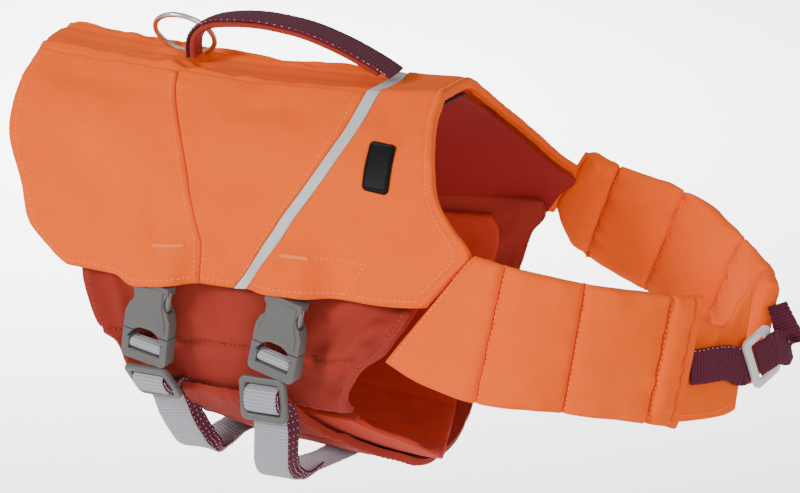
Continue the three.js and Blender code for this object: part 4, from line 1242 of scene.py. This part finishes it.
def prongs(at, place):
    waist = buckleSize["waist"]
    made = []
    for side in (-1, 1):
        prong = block(side * (waist - 3.0), side * (waist - 0.9), -17, -3.8, -2.5, 2.5)
        bevelEdges(prong, 0.8, 3)
        made.append(prong)
    bpy.ops.object.select_all(action="DESELECT")
    for prong in made:
        prong.select_set(True)
    bpy.context.view_layer.objects.active = made[0]
    bpy.ops.object.join()
    placeHard(made[0], at, f"buckle_prongs_{place}", prongGrey, "grey_plastic")


def maleHalf(at, place):
    half, thick, male = buckleSize["half"], buckleSize["thick"], buckleSize["male"]
    piece = block(-half, half, male["foot"], male["top"], -(thick - 1) / 2, (thick - 1) / 2)
    # a thin lip under the foot, whose corners are rounded off
    selectFaces(piece, lambda face: face.normal.y < -0.9)
    bpy.ops.mesh.extrude_region_move(TRANSFORM_OT_translate={"value": (0, -0.01, 0)})
    bpy.ops.object.mode_set(mode="OBJECT")
    for side in (-1, 1):
        corner = block(side * (half - 3), side * (half + 2), -60, -51.5, -thick, thick)
        cutAway(corner, cylinderBlock(side * (half - male["corner"]), -51, male["corner"], 3 * thick))
        cutAway(piece, corner)
    cutAway(piece, block(*buckleSize["window"], -thick, thick))
    arch = archCutter(buckleSize["arch"]["gap"])
    cutAway(arch, block(-20, 20, -60, -40.2, -3 * thick, 3 * thick))
    cutAway(piece, arch)
    bevelEdges(piece, 0.8, 3, 30)
    placeHard(piece, at, f"buckle_male_{place}_moulded", buckleGrey, "grey_plastic", f"buckle_male_{place}")
    side = at.to_3x3() @ Vector((1, 0, 0))
    rows = [(tuple(at @ Vector((0, y, z))), tuple(side)) for y, z in buckleSize["wrap"]]
    strapPiece(f"bar_wrap_{place}_woven", rows, greyWebbing, "grey_webbing", thick=1.2, step=0.5, saw=0.0,
               nodesStoodFor=[f"bar_wrap_{place}"])


def roundedFrame(shape):
    # a slider or hook: a block with round corners and a window through it
    width, height, thick = shape["size"]
    openWidth, openHeight = shape["window"]
    piece = block(-width / 2, width / 2, -height / 2, height / 2, -thick / 2, thick / 2)
    bpy.ops.object.mode_set(mode="EDIT")
    bpy.ops.mesh.select_mode(type="EDGE")
    bpy.ops.mesh.select_all(action="DESELECT")
    bpy.ops.object.mode_set(mode="OBJECT")
    for edge in piece.data.edges:
        a, b = (piece.data.vertices[k].co for k in edge.vertices)
        edge.select = abs(a.z - b.z) > thick * 0.9
    bpy.ops.object.mode_set(mode="EDIT")
    bpy.ops.mesh.bevel(offset=shape["corner"], segments=6, affect="EDGES")
    bpy.ops.object.mode_set(mode="OBJECT")
    cutter = block(-openWidth / 2, openWidth / 2, -openHeight / 2, openHeight / 2, -4 * thick, 4 * thick)
    bevelEdges(cutter, 1.6, 4)
    cutAway(piece, cutter)
    bevelEdges(piece, shape["soften"], 3, 40)
    return piece


def addBuckles():
    for place in ("rear", "front"):
        at = flankFrame(buckleSize[place])
        femaleHalf(at, place)
        prongs(at, place)
        maleHalf(at, place)
        slide = roundedFrame(buckleSize["slider"])
        placeHard(slide, flankFrame(buckleSize[place + "Slider"]), f"slider_{place}_moulded", buckleGrey,
                  "grey_plastic", f"slider_{place}")
    print("buckles made")


# Belly straps, each out through its slider, down in a loop, and round under the belly

bellyStraps = {
    "inSlider": [(8.8, -4.4), (7.8, -0.6), (6.2, 3.4), (2, 5), (-3, 5), (-6.8, 3.2), (-8.6, -0.8),
                 (-10, -4.4)],
    "under": [-0.3, -0.15, 0.1, 0.35, 0.6, 0.8, 0.97, 1.2, 1.5, 1.72],
    "backingLean": 52, "backingHalf": 4.6,
    "backed": (0.1, 0.56), "backingDrop": 1.6, "flecksIn": (1.4, 4.4, 7.4),
    "rear": {
        "across": -28,
        "loop": [(-56, -90, -195.5), (-54, -86, -207), (-51, -79, -220.5), (-48, -71, -232),
                 (-44, -63, -236), (-39, -55, -233), (-33, -44, -228)],
    },
    "front": {
        "across": 43,
        "loop": [(23, -109, -196), (21, -105, -212), (18, -97, -228), (18, -87, -238),
                 (22, -77, -240), (29, -66, -237), (37, -53, -236)],
    },
}


def addBellyStraps():
    for place in ("rear", "front"):
        strap = bellyStraps[place]
        frameAt = flankFrame(buckleSize[place + "Slider"])
        sliderSide = tuple(frameAt.to_3x3() @ Vector((1, 0, 0)))
        rows = [(tuple(frameAt @ Vector((0, up, out))), sliderSide) for up, out in bellyStraps["inSlider"]]
        rows += [(point, (1, 0, 0)) for point in strap["loop"]]
        for part in bellyStraps["under"]:
            across = strap["across"]
            point = Vector(cradle(across, part))
            along = Vector(cradle(across, part + 0.03)) - Vector(cradle(across, part - 0.03))
            side = (Vector(cradle(across + 9, part)) - Vector(cradle(across - 9, part))).normalized()
            out = along.cross(side).normalized()
            point += out * (3.4 if out.dot(point) > out.z * -140 else -3.4)
            rows.append((tuple(point), tuple(side)))
        strapPiece(f"belly_strap_{place}_woven", rows, greyWebbing, "grey_webbing",
                   nodesStoodFor=[f"belly_strap_{place}"])
        name = f"strap_backing_{place}_woven"
        tops = straps[f"belly_strap_{place}_woven"]
        start, end = (int(share * len(tops)) for share in bellyStraps["backed"])
        lean, half = math.radians(bellyStraps["backingLean"]), bellyStraps["backingHalf"]
        hung = []
        for k in range(start, end, 9):
            point, side, out, _, reach = tops[k]
            across = side * math.cos(lean) - out * math.sin(lean)
            edge = point + side * (reach - 1.2) - out * bellyStraps["backingDrop"]
            hung.append((tuple(edge + across * half), tuple(across)))
        strapPiece(name, hung, burgundyWebbing, "burgundy_webbing", wide=2 * half, thick=1.5,
                   nodesStoodFor=[f"strap_backing_{place}"])
        spots = []
        for inset in bellyStraps["flecksIn"]:
            spots += flecksOn(name, inset)
        sewPiece(f"strap_flecks_{place}", spots, paleFlecks, "burgundy_webbing", length=1.5, radius=0.34)
    print("belly straps made")


# The neck webbings and the metal hook that joins them

collar = {
    "line": [(284, -64, -134), (291, -57, -134.5), (298, -47.5, -135.5), (303, -41, -137)],
    "back": [(320, 8, -113), (324.5, 5, -121), (329, 3, -131), (331, 0, -138)],
    "webAtHook": [(-15, -3.3), (-9, -4), (-3, -3.4)],
    "backAtHook": [(12, 3.6), (6, 2.8), (1, 1.4), (-4.5, 0)],
    "hookAt": (318, -21, -138),
    "hook": {"size": (26, 34, 2.6), "window": (15, 24.8), "corner": 4.2, "soften": 0.8},
    "hookUp": (-0.1, 0.12, 1), "hookAlong": (0.37, 0.88, 0.29), "slant": (0.55, 0.8, 0.3),
    "neckLoop": {"x": 101, "under": 10.35, "across": (-23, -12, 0, 12, 23), "wide": 12},
}


def addCollar():
    upright, slant = Vector(collar["hookUp"]), Vector(collar["slant"])
    along = Vector(collar["hookAlong"]).normalized()
    out = along.cross(upright).normalized()
    up = out.cross(along)
    hook = Matrix((along, up, out)).transposed().to_4x4()
    hook.translation = Vector(collar["hookAt"])
    lapped = [(point, tuple(upright)) for point in collar["line"]]
    lapped += [(tuple(hook @ Vector((a, 0, o))), tuple(up)) for a, o in collar["webAtHook"]]
    strapPiece("collar_webbing_woven", lapped, burgundyWebbing, "burgundy_webbing", wide=22, thick=2,
               nodesStoodFor=["collar_webbing"])
    doubled = [(point, tuple(slant.lerp(up, i / 4))) for i, point in enumerate(collar["back"])]
    doubled += [(tuple(hook @ Vector((a, 0, o))), tuple(up)) for a, o in collar["backAtHook"]]
    strapPiece("collar_return_woven", doubled, burgundyWebbing, "burgundy_webbing",
               wide=lambda t: mix(14, 22, ease(t * 1.8)), thick=2, nodesStoodFor=["collar_return"])
    spots = flecksOn("collar_webbing_woven", 0.6, 0.05, 0.95)
    spots += flecksOn("collar_return_woven", 0.6, 0.02, 0.95)
    sewPiece("collar_flecks", spots, paleFlecks, "burgundy_webbing", length=1.3, radius=0.36)
    placeHard(roundedFrame(collar["hook"]), hook, "collar_hook_cast", hookAlloy, "cast_alloy", "collar_hook")
    loop = collar["neckLoop"]
    rows = [((loop["x"], y, backHeight(loop["x"], y) - loop["under"]), (1, 0, 0.1)) for y in loop["across"]]
    strapPiece("neck_loop_woven", rows, burgundyWebbing, "burgundy_webbing", wide=loop["wide"],
               nodesStoodFor=["neck_loop"])
    print("collar made")


# The blank rubber label, a moulded plate with a raised rim

label = {"x": (72.6, 90.8), "s": (66, 98.6), "corner": 3.2, "rimWide": 1.3, "skew": (1.9, 1.6), "proud": 3.0}


def addLabel():
    (x0, x1), (s0, s1) = label["x"], label["s"]
    wide, long, corner = x1 - x0, s1 - s0, label["corner"]
    leanX, leanS = label["skew"]

    def girth(u, v):
        return -mix(s0, s1, v) - leanS * u

    def place(u, v):
        near = min(v, 1 - v) * long
        inset = corner - math.sqrt(corner ** 2 - (corner - near) ** 2) if near < corner else 0
        return saddle(mix(x0 + inset, x1 - inset, u) + leanX * v, girth(u, v))

    def relief(u, v, a, b, w, l, point):
        inside = min(min(u, 1 - u) * wide, min(v, 1 - v) * long)
        raised = 0.55 * bell(inside - label["rimWide"], 0.55)
        under = saddleRelief(mix(x0, x1, u) + leanX * v, girth(u, v), point)
        return label["proud"] + under + raised + rim(inside, 0.8, 0.5)

    piece = clothPiece("shoulder_label", place, relief, lambda u, v, w, l: 1.7, trunkHeart, cell=0.5,
                       pull=0.2)
    finishPiece(piece, "shoulder_label_moulded", labelRubber, "black_label", "jacket", "shoulder_label")
    print("label made")


# Stitching, and the two raised bar tacks on the right side

seamRows = {
    # on both sides, by (u, v) of the piece; the last row is the pocket's, down from the bar tack
    "rear_panel_": [
        [(0.045, 0.02), (0.045, 0.98)], [(0.04, 0.972), (0.97, 0.972)], [(0.972, 0.03), (0.972, 0.97)],
    ],
    "mid_panel_": [
        [(0.04, 0.972), (0.97, 0.972)], [(0.965, 0.05), (0.965, 0.97)], [(0.045, 0.83), (0.045, 0.972)],
    ],
    "front_yoke": [
        [(0.012, 0.04), (0.012, 0.94)], [(0.982, 0.04), (0.982, 0.94)],
        [(0.075, 0.22), (0.072, 0.42), (0.07, 0.5), (0.03, 0.505), (0.005, 0.51)],
    ],
    "neckLine": [(k / 40, 1 - 5 / 70) for k in range(1, 40)],
    "flank_right": [
        [(0.03, 0.965), (0.97, 0.965)], [(0.975, 0.05), (0.975, 0.95)], [(0.022, 0.05), (0.022, 0.95)],
    ],
    "belly_panel": [
        [(0.06, 0.02), (0.96, 0.02)], [(0.97, k / 20) for k in range(1, 20)],
        [(0.03, k / 20) for k in range(1, 20)],
    ],
}
barTacks = {
    "stitches": 20,
    "rear_panel_right": ((0.756, 0.83), (0.919, 0.83)),
    "front_yoke": ((0.0714, 0.0625), (0.0714, 0.2)),
}


def sewRows(cloth, rows, **settings):
    return [spot for marks in rows for spot in sewRow(cloth, marks, **settings)]


def addStitching():
    orange = []
    for side in ("right", "left"):
        for part in ("rear_panel_", "mid_panel_"):
            orange += sewRows(part + side, seamRows[part])
    orange += sewRows("front_yoke", seamRows["front_yoke"])
    orange += sewRow("front_yoke", seamRows["neckLine"], pitch=3.0)
    for side in ("right", "left"):
        seams = [[(seam + 0.004, k / 26) for k in range(1, 26)] for seam in arms[side]["seams"][1:-1]]
        orange += sewRows("neck_arm_" + side, seams, pitch=3.4)
        orange += sewRow("neck_arm_" + side, [(0.015, 0.04), (0.015, 0.96)])
    orange += sewRow("front_flap", [(0.05, 0.93), (0.96, 0.93)])
    seams = [[(seam + 0.006, k / 26) for k in range(2, 25)] for seam in arms["left"]["seams"][1:-1]]
    orange += sewRows("neck_arm_left_inside", seams, pitch=3.4)
    sewPiece("top_stitching", orange, orangeThread, "orange_shell")
    right, left = channelShare(flankFoot), channelShare(leftFoot)
    red = sewRow("flank_right", [(0.04, right), (0.93, right)])
    red += sewRows("flank_right", seamRows["flank_right"])
    red += sewRow("flank_left", [(0.04, left), (0.96, left)])
    red += sewRows("belly_panel", seamRows["belly_panel"])
    sewPiece("shell_stitching", red, redThread, "rust_shell")
    bars = []
    last = barTacks["stitches"] - 1
    for cloth in ("rear_panel_right", "front_yoke"):
        (u0, v0), (u1, v1) = barTacks[cloth]
        for k in range(last + 1):
            place, out = onCloth(cloth, mix(u0, u1, k / last), mix(v0, v1, k / last))
            ahead, _ = onCloth(cloth, mix(u0, u1, (k + 1) / last), mix(v0, v1, (k + 1) / last))
            bars.append((place, out, out.cross(ahead - place).normalized()))
    sewPiece("bar_tacks", bars, orangeThread, "orange_shell", length=3.0, radius=0.7, sink=0.5)
    print("stitching done")


# Floor and light

stage = {"floorDrop": 0.34, "floor": 14, "tone": 0.97, "sky": 0.43}
lamps = {
    "key": {"at": (-1.1, -1.6, 1.0), "aim": (0.07, 0, -0.1), "size": 0.7, "watts": 43},
    "front": {"at": (1.4, -1.5, 0.5), "aim": (0.07, 0, -0.1), "size": 1.2, "watts": 21},
    "top": {"at": (0.5, 0.3, 1.9), "aim": (0.07, 0, -0.1), "size": 1.0, "watts": 3},
    "floorLight": {"at": (-0.9, 1.3, 1.3), "aim": (-1.3, 2.9, None), "size": 1.2, "watts": 330},
}


def areaLight(name, place, aim, size, power):
    bpy.ops.object.light_add(type="AREA", location=place)
    lamp = bpy.context.object
    lamp.name = name
    lamp.data.shape = "DISK"
    lamp.data.size = size
    lamp.data.energy = power
    lamp.rotation_euler = (Vector(aim) - Vector(place)).to_track_quat("-Z", "Y").to_euler()


def addStage():
    low = cadBox[0].z - stage["floorDrop"]
    bpy.ops.mesh.primitive_plane_add(size=stage["floor"], location=(0, 0, low))
    floor = bpy.context.object
    floor.name = "floor"
    made, _, shader = newMaterial("paleFloor", 0.9, Specular_IOR_Level=0.1)
    shader.inputs["Base Color"].default_value = rgba([stage["tone"]] * 3)
    floor.data.materials.append(made)
    world = bpy.data.worlds.new("studio")
    world.use_nodes = True
    sky = world.node_tree.nodes["Background"]
    sky.inputs["Color"].default_value = (1, 1, 1, 1)
    sky.inputs["Strength"].default_value = stage["sky"]
    bpy.context.scene.world = world
    for name, lamp in lamps.items():
        x, y, z = lamp["aim"]
        areaLight(name, lamp["at"], (x, y, low if z is None else z), lamp["size"], lamp["watts"])


addCamera()
addBack()
addGirdle()
addArms()
addHandle()
addRing()
addBuckles()
addBellyStraps()
addCollar()
addLabel()
addStitching()
addStage()
